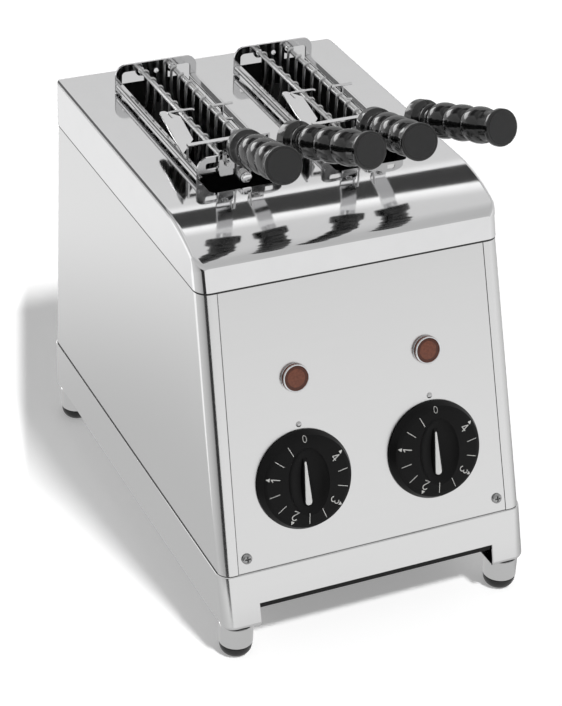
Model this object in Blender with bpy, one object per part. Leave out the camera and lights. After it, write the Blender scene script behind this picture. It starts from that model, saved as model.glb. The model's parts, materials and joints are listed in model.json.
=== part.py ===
"""Two-slot toaster with a pair of sandwich tongs in each slot, in metres, +Z up, front towards -Y.

The origin is the middle of the whole outline on the table. Every length follows from the values named below
or from the values named at the head of the piece that carries it.
"""

import math

import bmesh
import bpy
from mathutils import Vector

# Overall driving dimensions
BASE_DEPTH = 0.340
GLAND_PROUD = 0.008
HOOD_TOP = 0.281
HOOD_HEIGHT = 0.0333
FOOT_HEIGHT = 0.025
SKIRT_HEIGHT = 0.038
BODY_BOTTOM_HALF = 0.1137
BODY_TAPER = 0.004
FRONT_LEAN = math.radians(17.25)
CORNER_RADIUS = 0.009
SKIRT_PROUD = 0.0007
HOOD_PROUD = 0.0005

# Sheet, seats and clearances
WALL = 0.0012
SKIRT_WALL = 0.0015
SKIRT_ROUND = 0.004
SEAT = 0.0003
OVERRUN = 0.005
MERGE = 0.000001

# Front panel and what it carries, measured up its slope from the skirt
PANEL_TOP_MARGIN = 0.0130
PANEL_BOTTOM_MARGIN = 0.0126
PANEL_THICKNESS = 0.0015
FRONT_WALL = 0.0036
CONTROL_SPACING = 0.0972
KNOB_UP = 0.0565
KNOB_RADIUS = 0.0343
STUD_UP = 0.0945
LAMP_UP = 0.127
SCREW_UP = 0.0104
SCREW_INSET = 0.0067
SCREW_RADIUS = 0.0019
SHAFT_RADIUS = 0.003
LAMP_BARREL = 0.0083

# Slots, heat chambers and heating elements
SLOT_SPACING = 0.092
SLOT_WIDTH = 0.054
SLOT_FRONT_MARGIN = 0.1365
SLOT_REAR_MARGIN = 0.0245
SLOT_CORNER = 0.004
CHAMBER_HALF = 0.035
CHAMBER_WALL = 0.001
CHAMBER_BOTTOM = 0.100
CHAMBER_MARGIN = 0.0055
HEATER_OFFSET = 0.030
HEATER_RADIUS = 0.00325
HEATER_LOW = 0.200
HEATER_PITCH = 0.028

# Crumb tray and the recess it slides out of
NOTCH_INSET = 0.0133
NOTCH_TOP = 0.0414
PLATE_BOTTOM = 0.043
PLATE_THICKNESS = 0.0012
TRAY_HEIGHT = 0.0037
TRAY_REAR_MARGIN = 0.040

# Feet
FOOT_RADIUS = 0.0117
FOOT_SIDE_INSET = 0.0122
FOOT_INSET = 0.0122
REAR_FOOT_INSET = 0.0155
PAD_HEIGHT = 0.0085
FOOT_STUD_RADIUS = 0.003

# Cable gland in the rear wall
GLAND_BARREL = 0.0057
GLAND_OUT = 0.070
GLAND_UP = 0.085

# Tongs, measured from the hood's top at the middle of their slot
ROD_HALF_SPACING = 0.0115
ROD_UP = 0.015
ROD_RADIUS = 0.002
ROD_FRONT_REACH = 0.008
ROD_REAR_REACH = 0.0035
BRACKET_FRONT_INSET = 0.015
BRACKET_REAR_INSET = 0.013
BRACKET_THICKNESS = 0.0015
BRACKET_HALF = 0.031
RAIL_OUT = 0.0289
RAIL_UP = 0.0053
RAIL_RADIUS = 0.0019
RAIL_PIN_RADIUS = 0.0011
JAW_DEPTH = 0.112
JAW_WIRE_RADIUS = 0.001
JAW_BAR_RADIUS = 0.00125
JAW_WIRES = 11
JAW_END_GAP = 0.0075
HANDLE_LENGTH = 0.092
HANDLE_RISE = math.radians(18.9)
HANDLE_SPREAD = math.radians(8.2)
HANDLE_OUT = 0.0052
HANDLE_AHEAD = 0.0431
HANDLE_UP = 0.0307
TANG_RADIUS = 0.0025
BOLT_UP = 0.0045
BOLT_RADIUS = 0.002
STRAP_FROM_FRONT = 0.020
GUIDE_FROM_FRONT = 0.0725

# How finely round shapes are faceted
FINE_SIDES = 36
ROUND_SIDES = 16
HANDLE_SIDES = 12
PIN_SIDES = 10
CORNER_STEPS = 3

# Places that follow from the driving dimensions
Y_FRONT = -(BASE_DEPTH + GLAND_PROUD) / 2
Y_REAR = Y_FRONT + BASE_DEPTH
SEAM_LOW = FOOT_HEIGHT + SKIRT_HEIGHT
SEAM_HIGH = HOOD_TOP - HOOD_HEIGHT
WIDEST = FOOT_HEIGHT + SKIRT_ROUND
SLOPE_LENGTH = (SEAM_HIGH - SEAM_LOW) / math.cos(FRONT_LEAN)
BODY_TOP_HALF = BODY_BOTTOM_HALF - BODY_TAPER
PANEL_TOP_HALF = BODY_TOP_HALF - PANEL_TOP_MARGIN
PANEL_BOTTOM_HALF = BODY_BOTTOM_HALF - PANEL_BOTTOM_MARGIN
SCREW_SPACING = 2 * (PANEL_BOTTOM_HALF - SCREW_INSET)
FOOT_HALF_SPACING = BODY_BOTTOM_HALF - FOOT_SIDE_INSET
NOTCH_HALF = FOOT_HALF_SPACING - NOTCH_INSET
TRAY_LENGTH = BASE_DEPTH - TRAY_REAR_MARGIN
SLOT_FRONT = Y_FRONT + SLOT_FRONT_MARGIN
SLOT_LENGTH = BASE_DEPTH - SLOT_FRONT_MARGIN - SLOT_REAR_MARGIN
SLOT_REAR = SLOT_FRONT + SLOT_LENGTH
BRACKET_FRONT = SLOT_FRONT + BRACKET_FRONT_INSET
BRACKET_REAR = SLOT_REAR - BRACKET_REAR_INSET
ROD_FRONT = BRACKET_FRONT - ROD_FRONT_REACH
ROD_REAR = BRACKET_REAR + ROD_REAR_REACH
JAW_FIRST = BRACKET_FRONT + JAW_END_GAP
JAW_LAST = BRACKET_REAR - JAW_END_GAP
JAW_PITCH = (JAW_LAST - JAW_FIRST) / (JAW_WIRES - 1)
SIDES = {"left": -1, "right": 1}


def skirt_front(z):
    """The leaning front plane of the skirt, at its full depth where the rounded lower edge ends."""
    return Y_FRONT + (z - WIDEST) * math.tan(FRONT_LEAN)


def body_front(z):
    return skirt_front(z) + SKIRT_PROUD


def body_half(z):
    """Half the body's width: it widens evenly from the hood down to the skirt."""
    share = (z - SEAM_LOW) / (SEAM_HIGH - SEAM_LOW)
    return BODY_BOTTOM_HALF + share * (BODY_TOP_HALF - BODY_BOTTOM_HALF)


def panel_half(up):
    """Half the front panel's width at a distance up the slope."""
    return PANEL_BOTTOM_HALF + up / SLOPE_LENGTH * (PANEL_TOP_HALF - PANEL_BOTTOM_HALF)


def clear_scene():
    for item in list(bpy.data.objects):
        bpy.data.objects.remove(item, do_unlink=True)


def make_material(name, colour, roughness, metallic):
    made = bpy.data.materials.new(name)
    made.use_nodes = True
    shader = made.node_tree.nodes["Principled BSDF"]
    shader.inputs["Base Color"].default_value = (*colour, 1)
    shader.inputs["Roughness"].default_value = roughness
    shader.inputs["Metallic"].default_value = metallic
    return made


def make_materials():
    return {
        "brushed_steel": make_material("brushed_steel", (0.62, 0.62, 0.62), 0.32, 1),
        "polished_steel": make_material("polished_steel", (0.7, 0.7, 0.7), 0.08, 1),
        "wire_steel": make_material("wire_steel", (0.66, 0.66, 0.66), 0.18, 1),
        "inner_steel": make_material("inner_steel", (0.22, 0.22, 0.22), 0.5, 1),
        "black_plastic": make_material("black_plastic", (0.012, 0.012, 0.012), 0.22, 0),
        "black_rubber": make_material("black_rubber", (0.01, 0.01, 0.01), 0.6, 0),
        "pale_inlay": make_material("pale_inlay", (0.6, 0.6, 0.58), 0.45, 0),
        "amber_lens": make_material("amber_lens", (0.32, 0.07, 0.03), 0.18, 0),
        "dark_enamel": make_material("dark_enamel", (0.02, 0.02, 0.02), 0.4, 0),
        "cream_ceramic": make_material("cream_ceramic", (0.6, 0.55, 0.45), 0.5, 0),
    }


def add_object(name, data, material=None, parent=None, location=(0, 0, 0), rotation=(0, 0, 0)):
    item = bpy.data.objects.new(name, data)
    bpy.context.scene.collection.objects.link(item)
    if material is not None:
        data.materials.append(material)
    item.parent = parent
    item.location = location
    item.rotation_euler = rotation
    return item


def add_empty(name, parent=None, location=(0, 0, 0), rotation=(0, 0, 0)):
    item = add_object(name, None, None, parent, location, rotation)
    item.empty_display_size = CORNER_RADIUS
    return item


def mesh_of(name, points, faces, smooth=True):
    """A closed mesh with its doubles merged and its faces turned outwards."""
    mesh = bpy.data.meshes.new(name)
    mesh.from_pydata([tuple(point) for point in points], [], faces)
    shape = bmesh.new()
    shape.from_mesh(mesh)
    bmesh.ops.remove_doubles(shape, verts=shape.verts, dist=MERGE)
    bmesh.ops.recalc_face_normals(shape, faces=shape.faces)
    shape.to_mesh(mesh)
    shape.free()
    if smooth:
        mesh.shade_smooth()
        mesh.set_sharp_from_angle(angle=math.radians(35))
    return mesh


def box_mesh(name, low, high):
    """A box between two corners."""
    shape = bmesh.new()
    bmesh.ops.create_cube(shape, size=1)
    middle = [(a + b) / 2 for a, b in zip(low, high)]
    sides = [b - a for a, b in zip(low, high)]
    bmesh.ops.scale(shape, vec=sides, verts=shape.verts)
    bmesh.ops.translate(shape, vec=middle, verts=shape.verts)
    mesh = bpy.data.meshes.new(name)
    shape.to_mesh(mesh)
    shape.free()
    return mesh


def loft_mesh(name, rings):
    """Rings with equal numbers of points, joined in order and closed at both ends."""
    count = len(rings[0])
    points = [point for ring in rings for point in ring]
    faces = []
    for level in range(len(rings) - 1):
        start = level * count
        for i in range(count):
            j = (i + 1) % count
            faces.append((start + i, start + j, start + count + j, start + count + i))
    faces.append(tuple(range(count)))
    faces.append(tuple(range(len(points) - count, len(points))))
    return mesh_of(name, points, faces)


def turned_mesh(name, profile, sides, hollow=False):
    """A profile of (radius, height) spun about Z. A hollow one is a closed loop that misses the axis."""
    shape = bmesh.new()
    made = [shape.verts.new((radius, 0, height)) for radius, height in profile]
    edges = [shape.edges.new(pair) for pair in zip(made, made[1:])]
    if hollow:
        edges.append(shape.edges.new((made[-1], made[0])))
    bmesh.ops.spin(
        shape, geom=made + edges, cent=(0, 0, 0), axis=(0, 0, 1), angle=math.tau, steps=sides
    )
    bmesh.ops.remove_doubles(shape, verts=shape.verts, dist=MERGE)
    bmesh.ops.recalc_face_normals(shape, faces=shape.faces)
    mesh = bpy.data.meshes.new(name)
    shape.to_mesh(mesh)
    shape.free()
    mesh.shade_smooth()
    mesh.set_sharp_from_angle(angle=math.radians(35))
    return mesh


def prism_mesh(name, outline, axis, low, high):
    """A flat outline pushed along one axis. The outline gives the other two coordinates in order."""
    rings = []
    for level in (low, high):
        ring = []
        for first, second in outline:
            point = [first, second]
            point.insert(axis, level)
            ring.append(tuple(point))
        rings.append(ring)
    return loft_mesh(name, rings)


def ball_mesh(name, half_sizes, centre):
    """A ball stretched to three half sizes."""
    shape = bmesh.new()
    bmesh.ops.create_uvsphere(shape, u_segments=ROUND_SIDES, v_segments=ROUND_SIDES // 2, radius=1)
    bmesh.ops.scale(shape, vec=half_sizes, verts=shape.verts)
    bmesh.ops.translate(shape, vec=centre, verts=shape.verts)
    mesh = bpy.data.meshes.new(name)
    shape.to_mesh(mesh)
    shape.free()
    return mesh


def joined_mesh(name, meshes):
    """Several closed meshes held in one, each still a body of its own."""
    shape = bmesh.new()
    for mesh in meshes:
        shape.from_mesh(mesh)
        bpy.data.meshes.remove(mesh)
    mesh = bpy.data.meshes.new(name)
    shape.to_mesh(mesh)
    shape.free()
    return mesh


def arc(centre, radius, start, end, steps):
    """Points of an arc, with both ends, in degrees counted anticlockwise."""
    found = []
    for i in range(steps + 1):
        angle = math.radians(start + (end - start) * i / steps)
        found.append((centre[0] + radius * math.cos(angle), centre[1] + radius * math.sin(angle)))
    return found


def rounded_outline(low, high, radius, steps=CORNER_STEPS):
    """A rectangle with four equal round corners."""
    corners = (
        ((low[0] + radius, low[1] + radius), 180),
        ((high[0] - radius, low[1] + radius), 270),
        ((high[0] - radius, high[1] - radius), 0),
        ((low[0] + radius, high[1] - radius), 90),
    )
    return [point for centre, start in corners for point in arc(centre, radius, start, start + 90, steps)]


def capsule_outline(low, low_radius, high, high_radius, steps):
    """The hull of two circles on the second axis, low one first."""
    lean = math.degrees(math.asin((low_radius - high_radius) / (high - low)))
    lower = arc((0, low), low_radius, 180 - lean, 360 + lean, steps)
    upper = arc((0, high), high_radius, lean, 180 - lean, steps)
    return lower + upper


def plan_ring(half, front, rear, radius, z):
    return [(x, y, z) for x, y in rounded_outline((-half, front), (half, rear), radius)]


def tube_mesh(name, paths, radius, resolution=1):
    """Round wire along one or more paths, as a mesh that a Boolean can take."""
    curve = tube_curve(name, paths, radius, resolution)
    holder = add_object(name + "_wire", curve)
    graph = bpy.context.evaluated_depsgraph_get()
    mesh = bpy.data.meshes.new_from_object(holder.evaluated_get(graph))
    bpy.data.objects.remove(holder, do_unlink=True)
    shape = bmesh.new()
    shape.from_mesh(mesh)
    bmesh.ops.remove_doubles(shape, verts=shape.verts, dist=MERGE)
    bmesh.ops.recalc_face_normals(shape, faces=shape.faces)
    shape.to_mesh(mesh)
    shape.free()
    mesh.shade_smooth()
    return mesh


def tube_curve(name, paths, radius, resolution=1):
    curve = bpy.data.curves.new(name, "CURVE")
    curve.dimensions = "3D"
    curve.bevel_depth = radius
    curve.bevel_resolution = resolution
    curve.use_fill_caps = True
    for path in paths:
        spline = curve.splines.new("POLY")
        spline.points.add(len(path) - 1)
        for point, place in zip(spline.points, path):
            point.co = (*place, 1)
        spline.use_smooth = True
    return curve


def apply_other(target, other, operation, overlapping=False):
    """A live Boolean on the target. The other piece stays as a hidden guide."""
    other.hide_render = True
    other.display_type = "WIRE"
    step = target.modifiers.new(other.name, "BOOLEAN")
    step.operation = operation
    step.solver = "EXACT"
    step.use_self = overlapping
    step.object = other


def cut(target, name, mesh, location=(0, 0, 0), rotation=(0, 0, 0)):
    other = add_object(name, mesh, None, target.parent, location, rotation)
    apply_other(target, other, "DIFFERENCE")


def fuse(target, name, mesh, location=(0, 0, 0), rotation=(0, 0, 0), overlapping=False):
    other = add_object(name, mesh, None, target.parent, location, rotation)
    apply_other(target, other, "UNION", overlapping)


def drill_mesh(name, places, radius, low, high, sides=PIN_SIDES):
    """Round holes along Y at places given as (x, z)."""
    drills = []
    for x, z in places:
        ring = arc((x, z), radius, 0, 360 - 360 / sides, sides - 1)
        drills.append(prism_mesh(name, ring, 1, low, high))
    return joined_mesh(name, drills)


def slot_centre(side):
    return SIDES[side] * SLOT_SPACING / 2


def skirt_ring(z, inset):
    half = BODY_BOTTOM_HALF + SKIRT_PROUD - inset
    front = max(skirt_front(z), Y_FRONT) if z < WIDEST else skirt_front(z)
    return plan_ring(half, front + inset, Y_REAR - inset, CORNER_RADIUS - inset, z)


def build_skirt(mats):
    """The skirt: four walls on an inner flange, with the tray's recess cut through front and flange."""
    flange = 0.0015
    rear_flange = 0.022
    rings = []
    for i in range(CORNER_STEPS):
        turn = math.radians(90 * i / CORNER_STEPS)
        inset = SKIRT_ROUND * (1 - math.sin(turn))
        z = WIDEST - SKIRT_ROUND * math.cos(turn)
        rings.append(skirt_ring(z, inset))
    rings.append(skirt_ring(WIDEST, 0))
    rings.append(skirt_ring(SEAM_LOW, 0))
    skirt = add_object("base_skirt", loft_mesh("base_skirt", rings), mats["brushed_steel"])
    low = FOOT_HEIGHT + flange
    high = SEAM_LOW + OVERRUN
    inner = [skirt_ring(z, SKIRT_WALL) for z in (low, WIDEST + SKIRT_WALL, high)]
    cut(skirt, "cut_skirt_inside", loft_mesh("cut_skirt_inside", inner))
    notch = box_mesh(
        "cut_tray_recess",
        (-NOTCH_HALF, Y_FRONT - OVERRUN, FOOT_HEIGHT - OVERRUN),
        (NOTCH_HALF, Y_REAR - rear_flange, NOTCH_TOP),
    )
    cut(skirt, "cut_tray_recess", notch)
    stud_clearance = FOOT_STUD_RADIUS + SEAT
    for name, x, y in foot_places():
        hole = turned_mesh(
            "cut_stud_" + name,
            [(0, -OVERRUN), (stud_clearance, -OVERRUN), (stud_clearance, OVERRUN), (0, OVERRUN)],
            PIN_SIDES,
        )
        cut(skirt, "cut_stud_" + name, hole, (x, y, FOOT_HEIGHT))
    return skirt


def foot_places():
    """Name and centre of each foot."""
    found = []
    for side, sign in SIDES.items():
        found.append(("front_" + side, sign * FOOT_HALF_SPACING, Y_FRONT + FOOT_INSET))
        found.append(("rear_" + side, sign * FOOT_HALF_SPACING, Y_REAR - REAR_FOOT_INSET))
    return found


def build_feet(mats):
    """Metal feet on studs through the skirt's flange, each with a domed rubber pad on a peg."""
    edge = 0.0006
    stud_height = 0.008
    peg_radius = 0.003
    peg_height = 0.006
    pad_flat = 0.006
    pad_radius = FOOT_RADIUS - SEAT
    foot_bottom = PAD_HEIGHT + SEAT
    foot_top = FOOT_HEIGHT - SEAT
    bore = peg_radius + SEAT
    bore_top = PAD_HEIGHT + peg_height + SEAT
    foot_profile = [
        (bore, foot_bottom),
        (FOOT_RADIUS - edge, foot_bottom),
        (FOOT_RADIUS, foot_bottom + edge),
        (FOOT_RADIUS, foot_top),
        (FOOT_STUD_RADIUS, foot_top),
        (FOOT_STUD_RADIUS, foot_top + stud_height),
        (0, foot_top + stud_height),
    ]
    foot_profile = [(0, bore_top), (bore, bore_top)] + foot_profile
    dome = [(pad_flat, 0)]
    for i in range(1, CORNER_STEPS + 1):
        turn = math.radians(90 * i / CORNER_STEPS)
        radius = pad_flat + (pad_radius - pad_flat) * math.sin(turn)
        dome.append((radius, (PAD_HEIGHT - edge) * (1 - math.cos(turn))))
    pad_profile = [(0, 0)] + dome
    pad_profile += [(pad_radius, PAD_HEIGHT), (peg_radius, PAD_HEIGHT)]
    pad_profile += [(peg_radius, PAD_HEIGHT + peg_height), (0, PAD_HEIGHT + peg_height)]
    for name, x, y in foot_places():
        foot = turned_mesh("foot_" + name, foot_profile, ROUND_SIDES)
        add_object("foot_" + name, foot, mats["brushed_steel"], None, (x, y, 0))
        pad = turned_mesh("foot_pad_" + name, pad_profile, ROUND_SIDES)
        add_object("foot_pad_" + name, pad, mats["black_rubber"], None, (x, y, 0))


def build_base_plate(mats):
    """The closing plate, with a crumb opening under each slot and two legs that carry the tray's ledges."""
    leg_wall = 0.0012
    leg_gap = 0.0015
    ledge_width = 0.007
    ledge_thickness = 0.001
    top = PLATE_BOTTOM + PLATE_THICKNESS
    inset = SKIRT_WALL + SEAT
    half = BODY_BOTTOM_HALF + SKIRT_PROUD - inset
    front = skirt_front(top) + inset
    rear = Y_REAR - inset
    rings = [plan_ring(half, front, rear, CORNER_RADIUS, z) for z in (PLATE_BOTTOM, top)]
    plate = add_object("base_plate", loft_mesh("base_plate", rings), mats["inner_steel"])
    leg_inner = NOTCH_HALF + leg_gap
    leg_bottom = FOOT_HEIGHT + SKIRT_WALL + SEAT
    leg_front = front + CORNER_RADIUS
    leg_rear = leg_front + TRAY_LENGTH
    ledge_top = tray_bottom() - SEAT
    for side, sign in SIDES.items():
        wall = [sign * leg_inner, sign * (leg_inner + leg_wall)]
        leg = box_mesh(
            "tray_leg_" + side,
            (min(wall), leg_front, leg_bottom),
            (max(wall), leg_rear, PLATE_BOTTOM + PLATE_THICKNESS / 2),
        )
        fuse(plate, "tray_leg_" + side, leg)
        shelf = [sign * (leg_inner - ledge_width), sign * (leg_inner + leg_wall / 2)]
        ledge = box_mesh(
            "tray_ledge_" + side,
            (min(shelf), leg_front + CORNER_RADIUS, ledge_top - ledge_thickness),
            (max(shelf), leg_rear - CORNER_RADIUS, ledge_top),
        )
        fuse(plate, "tray_ledge_" + side, ledge)
        centre = slot_centre(side)
        opening = box_mesh(
            "cut_crumbs_" + side,
            (centre - SLOT_WIDTH / 2, SLOT_FRONT, PLATE_BOTTOM - OVERRUN),
            (centre + SLOT_WIDTH / 2, SLOT_REAR, top + OVERRUN),
        )
        cut(plate, "cut_crumbs_" + side, opening)
    return plate


def tray_bottom():
    return NOTCH_TOP - 2 * SEAT - TRAY_HEIGHT


def build_tray(mats):
    """A shallow black tray whose front lip closes the top of the recess."""
    sheet = 0.001
    lip = 0.0025
    set_back = 0.0012
    side_gap = 2 * SEAT
    low = tray_bottom()
    front = skirt_front(low + TRAY_HEIGHT) + set_back
    rear = front + TRAY_LENGTH
    half = NOTCH_HALF - side_gap
    tray = add_object(
        "crumb_tray",
        box_mesh("crumb_tray", (-half, front, low), (half, rear, low + TRAY_HEIGHT)),
        mats["dark_enamel"],
    )
    pocket = box_mesh(
        "cut_tray",
        (-half + sheet, front + lip, low + sheet),
        (half - sheet, rear - sheet, low + TRAY_HEIGHT + OVERRUN),
    )
    cut(tray, "cut_tray", pocket)
    return tray


def body_ring(z, side_wall, front_wall):
    half = body_half(z) - side_wall
    rear = Y_REAR - SKIRT_PROUD - side_wall
    return plan_ring(half, body_front(z) + front_wall, rear, CORNER_RADIUS - side_wall, z)


def build_body(mats, panel_frame):
    """Sides and rear in thin sheet, and a thicker front with a rebate and an opening for the panel."""
    ledge = 0.0131
    sill = 0.012
    low = SEAM_LOW + SEAT
    high = SEAM_HIGH - SEAT
    above = SLOPE_LENGTH + OVERRUN
    beyond = FRONT_WALL + OVERRUN
    shell = add_object(
        "body_shell",
        loft_mesh("body_shell", [body_ring(low, 0, 0), body_ring(high, 0, 0)]),
        mats["brushed_steel"],
    )
    inside = [body_ring(z, WALL, FRONT_WALL) for z in (low - OVERRUN, high + OVERRUN)]
    cut(shell, "cut_body_inside", loft_mesh("cut_body_inside", inside))
    rebate = add_object(
        "cut_rebate",
        panel_prism("cut_rebate", SEAT, -OVERRUN, above, -OVERRUN, PANEL_THICKNESS + SEAT),
        None,
        panel_frame,
    )
    apply_other(shell, rebate, "DIFFERENCE")
    opening = add_object(
        "cut_front",
        panel_prism("cut_front", -ledge, sill, SLOPE_LENGTH - sill, -OVERRUN, beyond),
        None,
        panel_frame,
    )
    apply_other(shell, opening, "DIFFERENCE")
    places = [(sign * SCREW_SPACING / 2, SCREW_UP) for sign in SIDES.values()]
    holes = drill_mesh("cut_body_screws", places, SCREW_RADIUS + SEAT, -OVERRUN, OVERRUN)
    screws = add_object("cut_body_screws", holes, None, panel_frame)
    apply_other(shell, screws, "DIFFERENCE")
    bore = GLAND_BARREL + SEAT
    drill = [(0, -OVERRUN), (bore, -OVERRUN), (bore, OVERRUN), (0, OVERRUN)]
    gland_hole = turned_mesh("cut_gland", drill, ROUND_SIDES)
    cut(shell, "cut_gland", gland_hole, gland_place(), (-math.pi / 2, 0, 0))
    return shell


def panel_prism(name, grow, low, high, front, back):
    """A slab on the sloping front, as wide as the panel plus a margin on each side."""
    low_half = panel_half(low) + grow
    high_half = panel_half(high) + grow
    outline = [(-low_half, low), (low_half, low), (high_half, high), (-high_half, high)]
    return prism_mesh(name, outline, 1, front, back)


def build_panel(mats, panel_frame):
    """The flush front panel with its holes and two index studs, and the two screws that hold it."""
    stud_radius = 0.002
    stud_height = 0.001
    stud_turns = (30, 60)
    head_radius = 0.0035
    head_height = 0.0018
    head_edge = head_height / 3
    crown_radius = head_radius * 2 / 3
    crown_share = 0.9
    cross_length = 0.0038
    cross_width = 0.0009
    screw_length = 0.007
    panel = add_object(
        "front_panel",
        panel_prism("front_panel", 0, SEAT, SLOPE_LENGTH - SEAT, 0, PANEL_THICKNESS),
        mats["brushed_steel"],
        panel_frame,
    )
    screws = [(sign * SCREW_SPACING / 2, SCREW_UP) for sign in SIDES.values()]
    knobs = [(sign * CONTROL_SPACING / 2, KNOB_UP) for sign in SIDES.values()]
    lamps = [(sign * CONTROL_SPACING / 2, LAMP_UP) for sign in SIDES.values()]
    drills = (
        ("cut_screws", screws, SCREW_RADIUS + SEAT, PIN_SIDES),
        ("cut_shafts", knobs, SHAFT_RADIUS + 2 * SEAT, ROUND_SIDES),
        ("cut_lamps", lamps, LAMP_BARREL + SEAT, ROUND_SIDES),
    )
    for name, places, radius, sides in drills:
        cut(panel, name, drill_mesh(name, places, radius, -OVERRUN, OVERRUN, sides))
    for side, sign in SIDES.items():
        root = -PANEL_THICKNESS / 2
        dome = [(0, root), (stud_radius, root), (stud_radius, 0)]
        for turn in stud_turns:
            angle = math.radians(turn)
            dome.append((stud_radius * math.cos(angle), stud_height * math.sin(angle)))
        dome.append((0, stud_height))
        stud = turned_mesh("index_stud_" + side, dome, PIN_SIDES)
        place = (sign * CONTROL_SPACING / 2, 0, STUD_UP)
        fuse(panel, "index_stud_" + side, stud, place, (math.pi / 2, 0, 0))
        head = [(0, -screw_length), (SCREW_RADIUS, -screw_length), (SCREW_RADIUS, SEAT)]
        head += [(head_radius, SEAT), (head_radius, SEAT + head_edge)]
        head += [(crown_radius, SEAT + head_height * crown_share), (0, SEAT + head_height)]
        screw = add_object(
            "panel_screw_" + side,
            turned_mesh("panel_screw_" + side, head, ROUND_SIDES),
            mats["polished_steel"],
            panel_frame,
            (sign * SCREW_SPACING / 2, 0, SCREW_UP),
            (math.pi / 2, 0, 0),
        )
        for index in range(2):
            half = [cross_length / 2, cross_width / 2][:: 1 - 2 * index]
            bar = box_mesh(
                "cut_cross",
                (-half[0], -half[1], head_edge),
                (half[0], half[1], head_height + OVERRUN),
            )
            cut(screw, "cut_cross_{}_{}".format(side, index), bar, screw.location, screw.rotation_euler)
    return panel


def build_timers(mats, panel_frame):
    """Clockwork timers behind the panel, and the knobs on their shafts."""
    case_half = 0.023
    case_depth = 0.028
    case_edge = 0.0015
    shaft_length = 0.013
    rim_low = 0.0005
    rim_high = 0.0018
    face_radius = 0.0318
    face_low = 0.0068
    face_round = 0.0018
    face_rise = 0.0011
    crown_rise = 0.0018
    hollow_half_width = 0.0155
    hollow_half_length = 0.0250
    hollow_half_depth = 0.0085
    hollow_floor = 0.0030
    ridge_top = 0.0058
    inlay_thickness = 0.0009
    inlay_proud = 0.0002
    ridge_low = 0.0149
    ridge_high = 0.0137
    ridge_low_radius = 0.0032
    ridge_high_radius = 0.0014
    flare_shares = ((0, 1.65, 1.06, 1.57), (0.32, 1.45, 1.05, 1.42), (0.76, 1.17, 1.01, 1.09), (1, 1, 1, 1))
    inlay_low = 0.0147
    inlay_high = 0.0129
    inlay_low_radius = 0.0023
    inlay_high_radius = 0.0006
    steps = 2 * CORNER_STEPS
    case_front = PANEL_THICKNESS + SEAT
    shaft_end = -case_front - shaft_length + SEAT
    crown = face_low + face_rise + crown_rise
    for side, sign in SIDES.items():
        x = sign * CONTROL_SPACING / 2
        low = (x - case_half, case_front, KNOB_UP - case_half)
        high = (x + case_half, case_front + case_depth, KNOB_UP + case_half)
        case = box_mesh("timer_" + side, low, high)
        timer = add_object("timer_" + side, case, mats["inner_steel"], panel_frame)
        edges = timer.modifiers.new("edges", "BEVEL")
        edges.width = case_edge
        edges.segments = 1
        bore = SHAFT_RADIUS + SEAT
        deep = case_front + shaft_length + SEAT
        hole = drill_mesh("cut_timer", [(x, KNOB_UP)], bore, -OVERRUN, deep, ROUND_SIDES)
        cut(timer, "cut_timer_" + side, hole)

        axis = add_empty("knob_axis_" + side, panel_frame, (x, 0, KNOB_UP), (math.pi / 2, 0, 0))
        dial = [
            (0, shaft_end),
            (SHAFT_RADIUS, shaft_end),
            (SHAFT_RADIUS, rim_low),
            (KNOB_RADIUS, rim_low),
            (KNOB_RADIUS, rim_high),
            (face_radius, face_low),
            (face_radius - face_round, face_low + face_rise),
            (KNOB_RADIUS * 2 / 3, crown - crown_rise / 2),
            (KNOB_RADIUS / 3, crown),
            (0, crown),
        ]
        turned = turned_mesh("knob_" + side, dial, FINE_SIDES)
        knob = add_object("knob_" + side, turned, mats["black_plastic"], axis)
        half_sizes = (hollow_half_width, hollow_half_length, hollow_half_depth)
        hollow = ball_mesh("cut_grip", half_sizes, (0, 0, hollow_floor + hollow_half_depth))
        cut(knob, "cut_grip_" + side, hollow)
        ridge_root = hollow_floor - rim_high / 2
        rings = []
        for rise, wide, down, up in flare_shares:
            z = ridge_root + rise * (ridge_top - ridge_root)
            low_end = (-ridge_low * down, ridge_low_radius * wide)
            high_end = (ridge_high * up, ridge_high_radius * wide)
            outline = capsule_outline(*low_end, *high_end, steps)
            rings.append([(u, v, z) for u, v in outline])
        fuse(knob, "finger_ridge_" + side, loft_mesh("finger_ridge", rings))
        outlines = []
        for grow in (SEAT, 0):
            low_end = (-inlay_low, inlay_low_radius + grow)
            high_end = (inlay_high, inlay_high_radius + grow)
            outlines.append(capsule_outline(*low_end, *high_end, steps))
        floor = ridge_top + inlay_proud - inlay_thickness
        pocket = prism_mesh("cut_inlay", outlines[0], 2, floor - SEAT, ridge_top + OVERRUN)
        cut(knob, "cut_inlay_" + side, pocket)
        inlay = prism_mesh("knob_pointer_" + side, outlines[1], 2, floor, floor + inlay_thickness)
        add_object("knob_pointer_" + side, inlay, mats["pale_inlay"], axis)


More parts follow.
